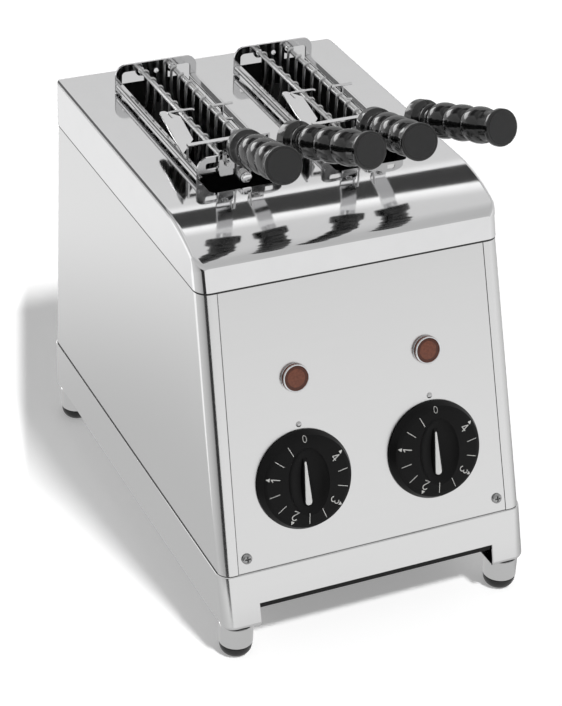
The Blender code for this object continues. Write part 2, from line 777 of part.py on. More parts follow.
def build_lamps(mats, panel_frame):
    """Pilot lamps: a chrome bezel through the panel and a domed lens seated in it."""
    flange_radius = 0.0105
    flange_height = 0.0026
    seat_radius = 0.0091
    seat_height = 0.0009
    bore = 0.0072
    barrel_length = 0.014
    lens_radius = seat_radius - SEAT
    lens_stem = bore - SEAT
    lens_dome = 0.0012
    lip_share = 0.8
    lens_width_share = 0.6
    lens_rise_share = 0.7
    lip = SEAT + flange_height * lip_share
    for side, sign in SIDES.items():
        place = (sign * CONTROL_SPACING / 2, 0, LAMP_UP)
        turn = (math.pi / 2, 0, 0)
        ring = [
            (bore, -barrel_length),
            (LAMP_BARREL, -barrel_length),
            (LAMP_BARREL, SEAT),
            (flange_radius, SEAT),
            (flange_radius, SEAT + flange_height / 2),
            ((flange_radius + seat_radius) / 2, SEAT + flange_height),
            (seat_radius, lip),
            (seat_radius, seat_height),
            (bore, seat_height),
        ]
        bezel = turned_mesh("lamp_bezel_" + side, ring, ROUND_SIDES, hollow=True)
        add_object("lamp_bezel_" + side, bezel, mats["polished_steel"], panel_frame, place, turn)
        low = seat_height + SEAT
        shape = [(0, -barrel_length / 2), (lens_stem, -barrel_length / 2), (lens_stem, low)]
        shape += [(lens_radius, low), (lens_radius, lip)]
        shape.append((lens_radius * lens_width_share, lip + lens_dome * lens_rise_share))
        shape.append((0, lip + lens_dome))
        lens = turned_mesh("lamp_lens_" + side, shape, ROUND_SIDES)
        add_object("lamp_lens_" + side, lens, mats["amber_lens"], panel_frame, place, turn)


def hood_stations(inset, bottom):
    """Side profile of the hood from the lower rear, over the top and down the nose to the front seam.

    Each station is (y, z, outward normal, edge radius). An inset moves the whole profile inwards.
    """
    crown_radius = 0.1165
    nose_radius = 0.0159
    rear_round = 0.003
    edge = 0.003
    crown_turn = math.radians(25)
    face_turn = math.pi / 2 - FRONT_LEAN
    crown_steps = 6
    nose_steps = 5
    crown_run = crown_radius * math.sin(crown_turn)
    crown_drop = crown_radius * (1 - math.cos(crown_turn))
    nose_run = nose_radius * (math.sin(face_turn) - math.sin(crown_turn))
    nose_drop = nose_radius * (math.cos(crown_turn) - math.cos(face_turn))
    face_top = HOOD_TOP - crown_drop - nose_drop
    crown_start = body_front(face_top) - HOOD_PROUD + crown_run + nose_run
    rear = Y_REAR - SKIRT_PROUD + HOOD_PROUD
    small = edge - inset
    large = CORNER_RADIUS - inset
    round_radius = rear_round - inset
    found = [(rear - inset, bottom, (1, 0), large)]
    found.append((rear - inset, HOOD_TOP - 3 * rear_round, (1, 0), large))
    for i in range(CORNER_STEPS + 1):
        turn = math.radians(90 * i / CORNER_STEPS)
        normal = (math.cos(turn), math.sin(turn))
        centre = (rear - rear_round, HOOD_TOP - rear_round)
        place = [c + round_radius * n for c, n in zip(centre, normal)]
        found.append((place[0], place[1], normal, small))
    centre = (crown_start, HOOD_TOP - crown_radius)
    for i in range(crown_steps + 1):
        turn = crown_turn * i / crown_steps
        normal = (-math.sin(turn), math.cos(turn))
        place = [c + (crown_radius - inset) * n for c, n in zip(centre, normal)]
        found.append((place[0], place[1], normal, small))
    centre = (
        crown_start - (crown_radius - nose_radius) * math.sin(crown_turn),
        HOOD_TOP - crown_radius + (crown_radius - nose_radius) * math.cos(crown_turn),
    )
    for i in range(1, nose_steps + 1):
        share = i / nose_steps
        turn = crown_turn + (face_turn - crown_turn) * share
        normal = (-math.sin(turn), math.cos(turn))
        place = [c + (nose_radius - inset) * n for c, n in zip(centre, normal)]
        found.append((place[0], place[1], normal, small + (large - small) * share))
    drop = place[1] - bottom
    front = place[0] - drop * math.tan(FRONT_LEAN)
    found.append((front, bottom, (-1 / math.cos(FRONT_LEAN), 0), large))
    return found


def hood_mesh(name, inset, bottom):
    """The hood's closed form: the profile swept across, with its side edges rounded station by station."""
    half = BODY_TOP_HALF + HOOD_PROUD - inset
    stations = hood_stations(inset, bottom)
    turns = [math.radians(90 - 90 * i / CORNER_STEPS) for i in range(CORNER_STEPS + 1)]
    across = [(-1, turn) for turn in turns] + [(1, turn) for turn in reversed(turns)]
    points = []
    for y, z, normal, radius in stations:
        for sign, turn in across:
            fall = radius * (1 - math.cos(turn))
            x = sign * (half - radius + radius * math.sin(turn))
            points.append((x, y - fall * normal[0], z - fall * normal[1]))
    wide = len(across)
    faces = []
    for row in range(len(stations) - 1):
        for i in range(wide - 1):
            start = row * wide + i
            faces.append((start, start + 1, start + wide + 1, start + wide))
    faces.append(tuple(row * wide for row in range(len(stations))))
    faces.append(tuple(row * wide + wide - 1 for row in range(len(stations))))
    last = (len(stations) - 1) * wide
    faces.append(tuple(range(wide)) + tuple(range(last + wide - 1, last - 1, -1)))
    return mesh_of(name, points, faces)


def build_hood(mats):
    """The polished cover, hollow below, with one long slot for each tong."""
    bottom = SEAM_HIGH + SEAT
    hood = add_object("hood", hood_mesh("hood", 0, bottom), mats["polished_steel"])
    inside = hood_mesh("cut_hood_inside", WALL, bottom - OVERRUN)
    cut(hood, "cut_hood_inside", inside)
    for side in SIDES:
        centre = slot_centre(side)
        outline = rounded_outline(
            (centre - SLOT_WIDTH / 2, SLOT_FRONT),
            (centre + SLOT_WIDTH / 2, SLOT_REAR),
            SLOT_CORNER,
        )
        slot = prism_mesh("cut_slot_" + side, outline, 2, HOOD_TOP - 2 * OVERRUN, HOOD_TOP + OVERRUN)
        cut(hood, "cut_slot_" + side, slot)
    return hood


def chamber_ends():
    return SLOT_FRONT - CHAMBER_MARGIN, SLOT_REAR + CHAMBER_MARGIN


def heater_path(sign):
    """Three level runs joined by two half-round bends, in from the front wall and out through the rear."""
    bend = HEATER_PITCH / 2
    bend_clear = 0.007
    tail = 0.009
    steps = 6
    front, rear = chamber_ends()
    turn_rear = rear - CHAMBER_WALL - bend_clear - bend - HEATER_RADIUS
    turn_front = front + CHAMBER_WALL + bend_clear + bend + HEATER_RADIUS
    places = [(front - tail, HEATER_LOW)]
    places += arc((turn_rear, HEATER_LOW + bend), bend, -90, 90, steps)
    places += arc((turn_front, HEATER_LOW + HEATER_PITCH + bend), bend, 270, 90, steps)
    places.append((rear + tail, HEATER_LOW + 2 * HEATER_PITCH))
    return [(sign * HEATER_OFFSET, y, z) for y, z in places]


def build_chambers(mats):
    """Open sheet shafts hung under the slots, each with a bent tubular element along both long walls."""
    flange = 0.004
    top = HOOD_TOP - WALL - SEAT
    front, rear = chamber_ends()
    for side in SIDES:
        centre = slot_centre(side)
        place = (centre, 0, 0)
        walls = box_mesh("chamber", (-CHAMBER_HALF, front, CHAMBER_BOTTOM), (CHAMBER_HALF, rear, top))
        chamber = add_object("heat_chamber_" + side, walls, mats["inner_steel"], None, place)
        rim = box_mesh(
            "rim",
            (-CHAMBER_HALF - flange, front - flange, top - CHAMBER_WALL),
            (CHAMBER_HALF + flange, rear + flange, top),
        )
        fuse(chamber, "chamber_rim_" + side, rim, place)
        shaft = box_mesh(
            "shaft",
            (-CHAMBER_HALF + CHAMBER_WALL, front + CHAMBER_WALL, CHAMBER_BOTTOM - OVERRUN),
            (CHAMBER_HALF - CHAMBER_WALL, rear - CHAMBER_WALL, top + OVERRUN),
        )
        cut(chamber, "cut_chamber_" + side, shaft, place)
        radius = HEATER_RADIUS + SEAT
        high = HEATER_LOW + 2 * HEATER_PITCH
        for name, y, z in (("front", front, HEATER_LOW), ("rear", rear, high)):
            places = [(sign * HEATER_OFFSET, z) for sign in SIDES.values()]
            holes = drill_mesh("holes", places, radius, y - OVERRUN, y + OVERRUN)
            cut(chamber, "cut_heater_{}_{}".format(name, side), holes, place)
        for wall, sign in SIDES.items():
            name = "heater_{}_{}".format(side, wall)
            heater = tube_curve(name, [heater_path(sign)], HEATER_RADIUS)
            add_object(name, heater, mats["dark_enamel"], None, place)


def gland_place():
    return (-GLAND_OUT, Y_REAR - SKIRT_PROUD, GLAND_UP)


def build_rear_fittings(mats):
    """The supply cable's gland in the rear wall, and the terminal block on the base plate behind it."""
    flange = 0.0085
    head = 0.0065
    bore = 0.0036
    inner_length = 0.008
    block_half_width = 0.020
    block_half_depth = 0.007
    block_height = 0.015
    block_inset = 0.014
    screw_hole = 0.002
    proud = GLAND_PROUD + SKIRT_PROUD
    ring = [
        (bore, -inner_length),
        (GLAND_BARREL, -inner_length),
        (GLAND_BARREL, SEAT),
        (flange, SEAT),
        (flange, proud / 3),
        (head, proud / 2),
        (head, proud),
        (bore, proud),
    ]
    gland = turned_mesh("cable_gland", ring, ROUND_SIDES, hollow=True)
    add_object("cable_gland", gland, mats["black_rubber"], None, gland_place(), (-math.pi / 2, 0, 0))
    low = PLATE_BOTTOM + PLATE_THICKNESS + SEAT
    centre = Y_REAR - block_inset
    block = add_object(
        "terminal_block",
        box_mesh(
            "terminal_block",
            (-block_half_width, centre - block_half_depth, low),
            (block_half_width, centre + block_half_depth, low + block_height),
        ),
        mats["cream_ceramic"],
    )
    for index in range(3):
        x = (index - 1) * block_half_width * 2 / 3
        deep = -block_height / 2
        drill = [(0, deep), (screw_hole, deep), (screw_hole, OVERRUN), (0, OVERRUN)]
        hole = turned_mesh("hole", drill, PIN_SIDES)
        cut(block, "cut_terminal_{}".format(index), hole, (x, centre, low + block_height))


def mirrored(half_outline):
    """An outline made symmetrical about the first axis's zero, from its right half given anticlockwise."""
    return half_outline + [(-x, z) for x, z in reversed(half_outline)]


def rear_bracket_outline():
    """Right half: tongue in the slot, eye round the rod, arch over the window and leg on the hood."""
    tongue_half = 0.009
    tongue_depth = 0.012
    eye = 0.0043
    top = 0.021
    corner = 0.008
    band = 0.0056
    leg = 0.0048
    inner_corner = 0.003
    leg_inner = BRACKET_HALF - leg
    under = top - band
    outline = [(tongue_half, -tongue_depth)]
    outline += arc((ROD_HALF_SPACING, ROD_UP), eye, -125, 0, 5)
    outline += arc((leg_inner - inner_corner, under - inner_corner), inner_corner, 90, 0, 3)
    outline += [(leg_inner, SEAT), (BRACKET_HALF, SEAT)]
    outline += arc((BRACKET_HALF - corner, top - corner), corner, 0, 90, 5)
    start = outline.index((tongue_half, -tongue_depth)) + 6
    outline.insert(start + 1, (ROD_HALF_SPACING + eye, under))
    return outline


def front_bracket_outline():
    """Right half: a broad apron in the slot, a notch at the middle, the rod's eye, the arch and the leg."""
    apron_half = 0.026
    apron_depth = 0.010
    notch_half = 0.006
    notch_top = 0.009
    eye = 0.0045
    top = 0.019
    corner = 0.008
    outline = [(apron_half, -apron_depth), (apron_half, SEAT), (BRACKET_HALF, SEAT)]
    outline += arc((BRACKET_HALF - corner, top - corner), corner, 0, 90, 5)
    outline += arc((ROD_HALF_SPACING, ROD_UP), eye, 62, 200, 6)
    outline.append((notch_half, notch_top + notch_half / 3))
    outline.append((notch_half / 2, notch_top))
    return outline


def bracket(name, outline, y, tong, material):
    plate = prism_mesh(name, outline, 1, y - BRACKET_THICKNESS / 2, y + BRACKET_THICKNESS / 2)
    made = add_object(name, plate, material, tong)
    rods = [(sign * ROD_HALF_SPACING, ROD_UP) for sign in SIDES.values()]
    pins = [(sign * RAIL_OUT, RAIL_UP) for sign in SIDES.values()]
    reach = (y - OVERRUN, y + OVERRUN)
    cut(made, "cut_rods_" + name, drill_mesh("rods", rods, ROD_RADIUS + SEAT, *reach))
    cut(made, "cut_pins_" + name, drill_mesh("pins", pins, RAIL_PIN_RADIUS + SEAT, *reach))
    return made


def build_brackets(side, tong, mats):
    """The two end plates that stand on the hood and carry the rods, the rails and the spring's bolt."""
    window_inner = 0.0162
    window_outer = 0.0250
    window_bottom = 0.0100
    window_top = 0.0148
    window_corner = 0.0015
    hole_radius = 0.0017
    name = "rear_bracket_" + side
    rear = bracket(name, mirrored(rear_bracket_outline()), BRACKET_REAR, tong, mats["wire_steel"])
    reach = (BRACKET_REAR - OVERRUN, BRACKET_REAR + OVERRUN)
    cut(rear, "cut_eye_" + name, drill_mesh("eye", [(0, ROD_UP - hole_radius)], hole_radius, *reach))
    name = "front_bracket_" + side
    front = bracket(name, mirrored(front_bracket_outline()), BRACKET_FRONT, tong, mats["wire_steel"])
    reach = (BRACKET_FRONT - OVERRUN, BRACKET_FRONT + OVERRUN)
    windows = []
    for sign in SIDES.values():
        window = (window_inner, window_bottom), (window_outer, window_top)
        outline = rounded_outline(*window, window_corner, 2)
        windows.append(prism_mesh("window", [(sign * x, z) for x, z in outline], 1, *reach))
    cut(front, "cut_windows_" + side, joined_mesh("windows", windows))
    cut(front, "cut_bolt_" + side, drill_mesh("bolt", [(0, BOLT_UP)], BOLT_RADIUS + SEAT, *reach))


def build_rails(side, tong, mats):
    """Two-lobed side rails pinned between the brackets. The right one carries a wire guide over its rod."""
    lip_radius = 0.0011
    lobe_distance = 0.0027
    pin_reach = 0.0032
    guide_radius = 0.001
    guide_end = 0.0255
    guide_leg = 0.018
    foot_up = 0.0022
    half = BRACKET_THICKNESS / 2 + SEAT
    low = BRACKET_FRONT + half
    high = BRACKET_REAR - half
    for hand, sign in SIDES.items():
        outline = capsule_outline(0, RAIL_RADIUS, lobe_distance, lip_radius, 5)
        section = [(sign * (RAIL_OUT - v), RAIL_UP + u) for u, v in outline]
        name = "rail_{}_{}".format(hand, side)
        bar = prism_mesh(name, section, 1, low, high)
        rail = add_object(name, bar, mats["polished_steel"], tong)
        pin_ends = (low - pin_reach, high + pin_reach)
        pin_place = [(sign * RAIL_OUT, RAIL_UP)]
        fuse(rail, "pin_" + name, drill_mesh("pin", pin_place, RAIL_PIN_RADIUS, *pin_ends))
        if hand == "right":
            y = BRACKET_FRONT + GUIDE_FROM_FRONT
            up = guide_height(guide_radius)
            over = [(ROD_HALF_SPACING - ROD_RADIUS, y, up), (guide_end, y, up)]
            leg = [(guide_leg, y, up), (guide_leg, y, RAIL_UP + foot_up), (RAIL_OUT, y, RAIL_UP)]
            guide = tube_mesh("guide", [over, leg], guide_radius)
            fuse(rail, "guide_" + name, guide, overlapping=True)


def guide_height(radius):
    """Height at which a wire clears the top of a rod."""
    return ROD_UP + ROD_RADIUS + radius + SEAT + SEAT / 3


def build_strap(side, tong, mats):
    """The cross strap on the rails, with the flat blade and its wire guide fixed under the left end."""
    width = 0.004
    thickness = 0.0012
    blade_behind = 0.055
    blade_ahead = 0.010
    rear_left = 0.0285
    rear_right = 0.0170
    front_left = 0.0370
    front_right = 0.0222
    tip_radius = 0.003
    roll = 0.0017
    guide_radius = 0.001
    skew = 0.009
    guide_end = 0.0050
    lap = thickness / 5
    y = BRACKET_FRONT + STRAP_FROM_FRONT
    blade_rear = y + blade_behind
    blade_front = y - blade_ahead
    half = RAIL_OUT + thickness / 2
    under = guide_height(guide_radius)
    top = under + thickness + lap
    strap = add_object(
        "strap_blade_" + side,
        box_mesh("strap_blade_" + side, (-half, y - width / 2, top - thickness), (half, y + width / 2, top)),
        mats["polished_steel"],
        tong,
    )
    leg_bottom = RAIL_UP + RAIL_RADIUS + SEAT
    for hand, sign in SIDES.items():
        wall = (sign * half, sign * (half - thickness))
        leg = box_mesh(
            "leg",
            (min(wall), y - width / 2, leg_bottom),
            (max(wall), y + width / 2, top - thickness / 2),
        )
        fuse(strap, "strap_leg_{}_{}".format(hand, side), leg)
    blade = [(-front_left, blade_front), (-front_right, blade_front + 2 * skew)]
    blade += arc((-rear_right - tip_radius, blade_rear - skew - tip_radius), tip_radius, 0, 60, 3)
    blade += arc((-rear_left + tip_radius, blade_rear - tip_radius), tip_radius, 60, 180, 4)
    low = under - thickness / 2
    fuse(strap, "blade_" + side, prism_mesh("blade", blade, 2, low, low + thickness))
    edge = [(-front_left, blade_front, under), (-rear_left, blade_rear - tip_radius, under)]
    fuse(strap, "blade_edge_" + side, tube_mesh("blade_edge", [edge], roll, 1))
    y = BRACKET_FRONT + GUIDE_FROM_FRONT
    inner = -rear_right - 2 * tip_radius
    wire = [(inner, blade_rear - skew - tip_radius, under), (inner, y - tip_radius, under)]
    wire += [(inner + tip_radius, y, under), (-guide_end, y, under)]
    wire.append((-guide_end + tip_radius / 2, y, under - tip_radius / 3))
    fuse(strap, "blade_guide_" + side, tube_mesh("blade_guide", [wire], guide_radius))


def build_jaw(side, hand, sign, axis, mats):
    """A rod with wires hanging from it and two cross bars. Every second wire turns in to hold the bread."""
    bar_offset = 0.0015
    bar_reach = 0.003
    bar_rise = 0.003
    bar_spread = 0.049
    hook = 0.0065
    name = "jaw_{}_{}".format(hand, side)
    ring = arc((0, 0), ROD_RADIUS, 0, 360 - 360 / PIN_SIDES, PIN_SIDES - 1)
    jaw = add_object(name, prism_mesh(name, ring, 1, ROD_FRONT, ROD_REAR), mats["wire_steel"], axis)
    wires = []
    for index in range(JAW_WIRES):
        y = JAW_FIRST + index * JAW_PITCH
        path = [(0, y, 0), (0, y, -JAW_DEPTH)]
        if index % 2:
            path.append((-sign * hook, y, -JAW_DEPTH))
        wires.append(path)
    bars = []
    low_bar = JAW_DEPTH - bar_rise
    for depth in (low_bar - bar_spread, low_bar):
        ends = (JAW_FIRST - bar_reach, JAW_LAST + bar_reach)
        bars.append([(sign * bar_offset, y, -depth) for y in ends])
    mesh = joined_mesh(
        "grid",
        [tube_mesh("wires", wires, JAW_WIRE_RADIUS, 0), tube_mesh("bars", bars, JAW_BAR_RADIUS, 0)],
    )
    fuse(jaw, "grid_" + name, mesh, overlapping=True)


def handle_direction(sign):
    level = math.cos(HANDLE_RISE)
    spread = sign * math.sin(HANDLE_SPREAD) * level
    return Vector((spread, -math.cos(HANDLE_SPREAD) * level, math.sin(HANDLE_RISE)))


def handle_root(sign):
    return Vector((sign * HANDLE_OUT, BRACKET_FRONT - HANDLE_AHEAD, HANDLE_UP))


def build_shank(side, hand, sign, axis, mats):
    """A flat strip riveted on the rod's front end, bent up and forward into a round tang."""
    width = 0.011
    thickness = 0.002
    eye_down = 0.0115
    eye_up = 0.007
    from_bracket = 0.0039
    tang_length = 0.030
    straight = 0.006
    y = BRACKET_FRONT - BRACKET_THICKNESS / 2 - from_bracket + thickness / 2
    along = handle_direction(sign)
    root = handle_root(sign)
    turned = Vector((math.cos(HANDLE_SPREAD), sign * math.sin(HANDLE_SPREAD), 0))
    level = Vector((1, 0, 0))
    path = [
        (Vector((0, y, -eye_down)), level),
        (Vector((0, y, eye_up - thickness)), level),
        (Vector((0, y - thickness, eye_up + thickness)), level),
        (root - along * straight, turned),
        (root - along * SEAT, turned),
    ]
    rings = []
    for index, (place, across) in enumerate(path):
        last = index == len(path) - 1
        after = place - path[index - 1][0] if last else path[index + 1][0] - place
        before = after if index == 0 else place - path[index - 1][0]
        heading = before.normalized() + after.normalized()
        normal = heading.cross(across).normalized()
        half = thickness / 2 / normal.dot(after.cross(across).normalized())
        ring = []
        for i, j in ((-1, -1), (1, -1), (1, 1), (-1, 1)):
            ring.append(place + across * (i * width / 2) + normal * (j * half))
        rings.append(ring)
    name = "shank_{}_{}".format(hand, side)
    shank = add_object(name, loft_mesh(name, rings), mats["polished_steel"], axis)
    tang = turned_mesh(
        "tang",
        [(0, -straight), (TANG_RADIUS, -straight), (TANG_RADIUS, tang_length), (0, tang_length)],
        PIN_SIDES,
    )
    facing = along.to_track_quat("Z", "Y").to_euler()
    fuse(shank, "tang_" + name, tang, root, facing)
    hole = drill_mesh("eye", [(0, 0)], ROD_RADIUS + SEAT, y - OVERRUN, y + OVERRUN)
    cut(shank, "cut_eye_" + name, hole)


def build_handle(side, hand, sign, axis, mats):
    """A turned handle: collar, thin ring, three bulges and a flat cap, bored for the tang."""
    collar = 0.01225
    collar_length = 0.010
    neck = 0.0090
    ring_radius = 0.0100
    ring_start = 0.0150
    ring_width = 0.0020
    bulge = 0.01185
    groove = 0.00975
    first_bulge = 0.0305
    bulge_pitch = 0.01925
    cap = 0.0120
    cap_length = 0.004
    cap_neck = 0.0095
    chamfer = 0.0006
    bore = TANG_RADIUS + SEAT
    bore_depth = 0.032
    half = bulge_pitch / 2
    profile = [(0, bore_depth), (bore, bore_depth), (bore, 0), (collar - chamfer, 0), (collar, chamfer)]
    profile += [(collar, collar_length - chamfer), (collar - chamfer, collar_length)]
    profile += [(neck, collar_length + ring_width), (neck, ring_start), (ring_radius, ring_start)]
    profile += [(ring_radius, ring_start + ring_width), (neck, ring_start + ring_width + chamfer)]
    lows = [neck, groove, groove, cap_neck]
    for index in range(3):
        centre = first_bulge + index * bulge_pitch
        for step in range(-2, 3):
            share = step / 2
            low = lows[index] if share < 0 else lows[index + 1]
            if step == 2 and index < 2:
                continue
            radius = low + (bulge - low) * math.cos(share * math.pi / 2)
            profile.append((radius, centre + share * half))
    cap_start = HANDLE_LENGTH - cap_length
    profile += [(cap_neck, cap_start - chamfer * 2), (cap, cap_start)]
    profile += [(cap, HANDLE_LENGTH - chamfer), (cap - chamfer, HANDLE_LENGTH), (0, HANDLE_LENGTH)]
    name = "handle_{}_{}".format(hand, side)
    mesh = turned_mesh(name, profile, HANDLE_SIDES)
    facing = handle_direction(sign).to_track_quat("Z", "Y").to_euler()
    add_object(name, mesh, mats["black_plastic"], axis, handle_root(sign), facing)


def build_spring(side, tong, mats):
    """The bolt on the front bracket and the V spring coiled on it, whose legs press the shanks apart."""
    wire = 0.0007
    coil = 0.0034
    pitch = 0.0019
    curls = 3.5
    points_a_curl = 9
    behind = 0.0011
    leg_straight = 0.0065
    leg_out = 0.0064
    leg_up = 0.0205
    leg_forward = 0.0120
    head_radius = 0.0042
    head_length = 0.0022
    head_share = 0.6
    nut_radius = 0.0036
    nut_length = 0.0024
    face = BRACKET_FRONT - BRACKET_THICKNESS / 2
    start = face - behind - wire
    leg_end_y = face - leg_forward
    count = round(curls * points_a_curl)
    helix = []
    for i in range(count + 1):
        angle = math.pi + math.tau * curls * i / count
        y = start - pitch * curls * i / count
        helix.append((coil * math.cos(angle), y, BOLT_UP + coil * math.sin(angle)))
    end = helix[-1][1]
    path = [(-leg_out, leg_end_y, BOLT_UP + leg_up), (-coil - wire, start, BOLT_UP + leg_straight)]
    path.append((-coil, start, BOLT_UP + leg_straight / 2))
    path += helix
    path += [(coil, end, BOLT_UP + leg_straight / 2), (leg_out, leg_end_y, BOLT_UP + leg_up)]
    clear = least_gap(path, wire, points_a_curl)
    print("spring_" + side, "least gap to itself, mm:", round(1000 * clear, 3))
    add_object("spring_" + side, tube_curve("spring_" + side, [path], wire), mats["wire_steel"], tong)
    head_back = end - wire - 2 * SEAT - face
    nut_front = -BRACKET_THICKNESS - SEAT
    profile = [(0, nut_front - nut_length), (nut_radius, nut_front - nut_length), (nut_radius, nut_front)]
    profile += [(BOLT_RADIUS, nut_front), (BOLT_RADIUS, -head_back), (head_radius, -head_back)]
    profile.append((head_radius, -head_back + head_length * head_share))
    profile.append((head_radius * head_share, -head_back + head_length))
    profile.append((0, -head_back + head_length))
    mesh = turned_mesh("spring_bolt_" + side, profile, PIN_SIDES)
    place = (0, face, BOLT_UP)
    add_object("spring_bolt_" + side, mesh, mats["polished_steel"], tong, place, (math.pi / 2, 0, 0))


def least_gap(path, wire, points_a_curl):
    """The least clear distance between stretches of a wire at least half a curl apart, on sampled points."""
    samples = []
    for a, b in zip(path, path[1:]):
        samples += [Vector(a).lerp(Vector(b), i / 4) for i in range(4)]
    apart = 2 * points_a_curl
    distances = ((p - q).length for i, p in enumerate(samples) for q in samples[i + apart:])
    return min(distances) - 2 * wire


def build_tong(side, mats):
    """One removable pair of sandwich tongs, standing on the hood over its slot."""
    tong = add_empty("tong_" + side, None, (slot_centre(side), 0, HOOD_TOP))
    build_brackets(side, tong, mats)
    build_rails(side, tong, mats)
    build_strap(side, tong, mats)
    build_spring(side, tong, mats)
    for hand, sign in SIDES.items():
        name = "jaw_axis_{}_{}".format(hand, side)
        axis = add_empty(name, tong, (sign * ROD_HALF_SPACING, 0, ROD_UP))
        build_jaw(side, hand, sign, axis, mats)
        build_shank(side, hand, sign, axis, mats)
        build_handle(side, hand, sign, axis, mats)


def main():
    clear_scene()
    mats = make_materials()
    corner = (0, body_front(SEAM_LOW), SEAM_LOW)
    panel_frame = add_empty("panel_frame", None, corner, (-FRONT_LEAN, 0, 0))
    build_skirt(mats)
    build_feet(mats)
    build_base_plate(mats)
    build_tray(mats)
    build_body(mats, panel_frame)
    build_panel(mats, panel_frame)
    build_timers(mats, panel_frame)
    build_lamps(mats, panel_frame)
    build_hood(mats)
    build_chambers(mats)
    build_rear_fittings(mats)
    for side in SIDES:
        build_tong(side, mats)
    bpy.context.view_layer.update()


main()
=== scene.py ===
# Two-slot toaster with a pair of sandwich tongs in each slot: its looks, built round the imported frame.
# Shapes are worked out in millimetres and go into the meshes in metres.
import json
import math

import bmesh
import bpy
import numpy as np
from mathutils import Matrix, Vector


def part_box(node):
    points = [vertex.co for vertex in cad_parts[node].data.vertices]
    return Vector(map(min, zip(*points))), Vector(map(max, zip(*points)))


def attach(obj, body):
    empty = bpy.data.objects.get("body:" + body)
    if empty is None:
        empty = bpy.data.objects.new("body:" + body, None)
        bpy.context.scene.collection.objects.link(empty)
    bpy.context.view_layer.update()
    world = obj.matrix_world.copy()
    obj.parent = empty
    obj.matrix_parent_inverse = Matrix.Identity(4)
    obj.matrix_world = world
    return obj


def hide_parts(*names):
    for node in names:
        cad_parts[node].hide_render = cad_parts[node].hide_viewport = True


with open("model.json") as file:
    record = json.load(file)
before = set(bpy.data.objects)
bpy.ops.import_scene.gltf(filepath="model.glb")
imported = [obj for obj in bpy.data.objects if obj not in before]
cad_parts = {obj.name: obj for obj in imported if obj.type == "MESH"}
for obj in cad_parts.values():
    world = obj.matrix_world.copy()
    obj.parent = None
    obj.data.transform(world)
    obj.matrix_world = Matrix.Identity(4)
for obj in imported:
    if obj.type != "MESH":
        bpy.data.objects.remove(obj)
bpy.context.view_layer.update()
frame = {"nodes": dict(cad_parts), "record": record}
nodes = frame["nodes"]
mm = 0.001
over = 5.0  # how far a cutter passes the sheet that it cuts
sides = {"left": -1, "right": 1}
print("frame loaded:", len(nodes), "nodes")

# What all the sheet metal shares with the CAD
body = {
    "front": -174.0, "rear": 166.0, "footTop": 25.0, "widest": 29.0, "seamLow": 63.0, "seamHigh": 247.7,
    "top": 281.0, "lean": math.radians(17.25), "topHalf": 109.7, "bottomHalf": 113.7, "corner": 9.0,
    "skirtProud": 0.7, "hoodProud": 0.5, "gap": 0.3, "wall": 1.2, "frontWall": 3.6, "panelThick": 1.5,
    "panelTopHalf": 96.7, "panelBottomHalf": 101.1, "controlSpacing": 97.2,
}
leanTan = math.tan(body["lean"])
slopeLength = (body["seamHigh"] - body["seamLow"]) / math.cos(body["lean"])


def skirtFront(z):
    # the leaning front plane: its depth grows with height times the tangent of the lean
    return body["front"] + (z - body["widest"]) * leanTan


def bodyFront(z):
    # the same plane, set back from the skirt
    return skirtFront(z) + body["skirtProud"]


def bodyHalf(z):
    # half the width, a straight line between the two seams
    share = (z - body["seamLow"]) / (body["seamHigh"] - body["seamLow"])
    return body["bottomHalf"] + share * (body["topHalf"] - body["bottomHalf"])


def panelHalf(up):
    # half the panel's width, a straight line up the slope
    return body["panelBottomHalf"] + up / slopeLength * (body["panelTopHalf"] - body["panelBottomHalf"])


panelOrigin = np.array([0, bodyFront(body["seamLow"]), body["seamLow"]])
panelUp = np.array([0, math.sin(body["lean"]), math.cos(body["lean"])])
panelOut = np.array([0, -math.cos(body["lean"]), math.sin(body["lean"])])


def onPanel(shape):
    # points given as (x, up the slope, out of the panel) put where the sloping panel is
    points, faces = shape
    points = np.asarray(points, float)
    x = points[:, :1] * np.array([1, 0, 0])
    return panelOrigin + x + points[:, 1:2] * panelUp + points[:, 2:3] * panelOut, faces


# Shapes: each is a pair of points and faces, in millimetres

def gridFaces(rows, cols, closeRows=False, closeCols=True):
    # four-sided faces between neighbouring rows and columns, joined round where asked
    row = np.arange(rows if closeRows else rows - 1)[:, None]
    col = np.arange(cols if closeCols else cols - 1)[None, :]
    below, above = row * cols, (row + 1) % rows * cols
    after = (col + 1) % cols
    return np.stack([below + col, below + after, above + after, above + col], -1).reshape(-1, 4).tolist()


def loft(rings, ringed=False):
    # rings of equal count joined in order, with a flat face over both ends unless the rings close
    rings = np.asarray(rings, float)
    rows, cols = rings.shape[:2]
    faces = gridFaces(rows, cols, ringed)
    if not ringed:
        faces += [list(range(cols)), list(range((rows - 1) * cols, rows * cols))]
    return rings.reshape(-1, 3), faces


def turned(profile, count=48, ringed=False):
    # (radius, height) carried round Z: x = r cos t, y = r sin t
    profile = np.asarray(profile, float)
    t = np.linspace(0, 2 * math.pi, count, endpoint=False)
    x = profile[:, :1] * np.cos(t)
    y = profile[:, :1] * np.sin(t)
    z = np.repeat(profile[:, 1:2], count, 1)
    return np.stack([x, y, z], -1).reshape(-1, 3), gridFaces(len(profile), count, ringed)


def prism(outline, axis, low, high):
    # a flat outline pushed along one axis; the outline gives the other two coordinates in order
    return loft([np.insert(np.asarray(outline, float), axis, level, axis=1) for level in (low, high)])


def block(low, high):
    # a box between two corners
    (x0, y0, z0), (x1, y1, z1) = low, high
    return prism([(x0, y0), (x1, y0), (x1, y1), (x0, y1)], 2, z0, z1)


def turns(start, end, count):
    # even angles between two, given in degrees and returned in radians
    return np.radians(np.linspace(start, end, count))


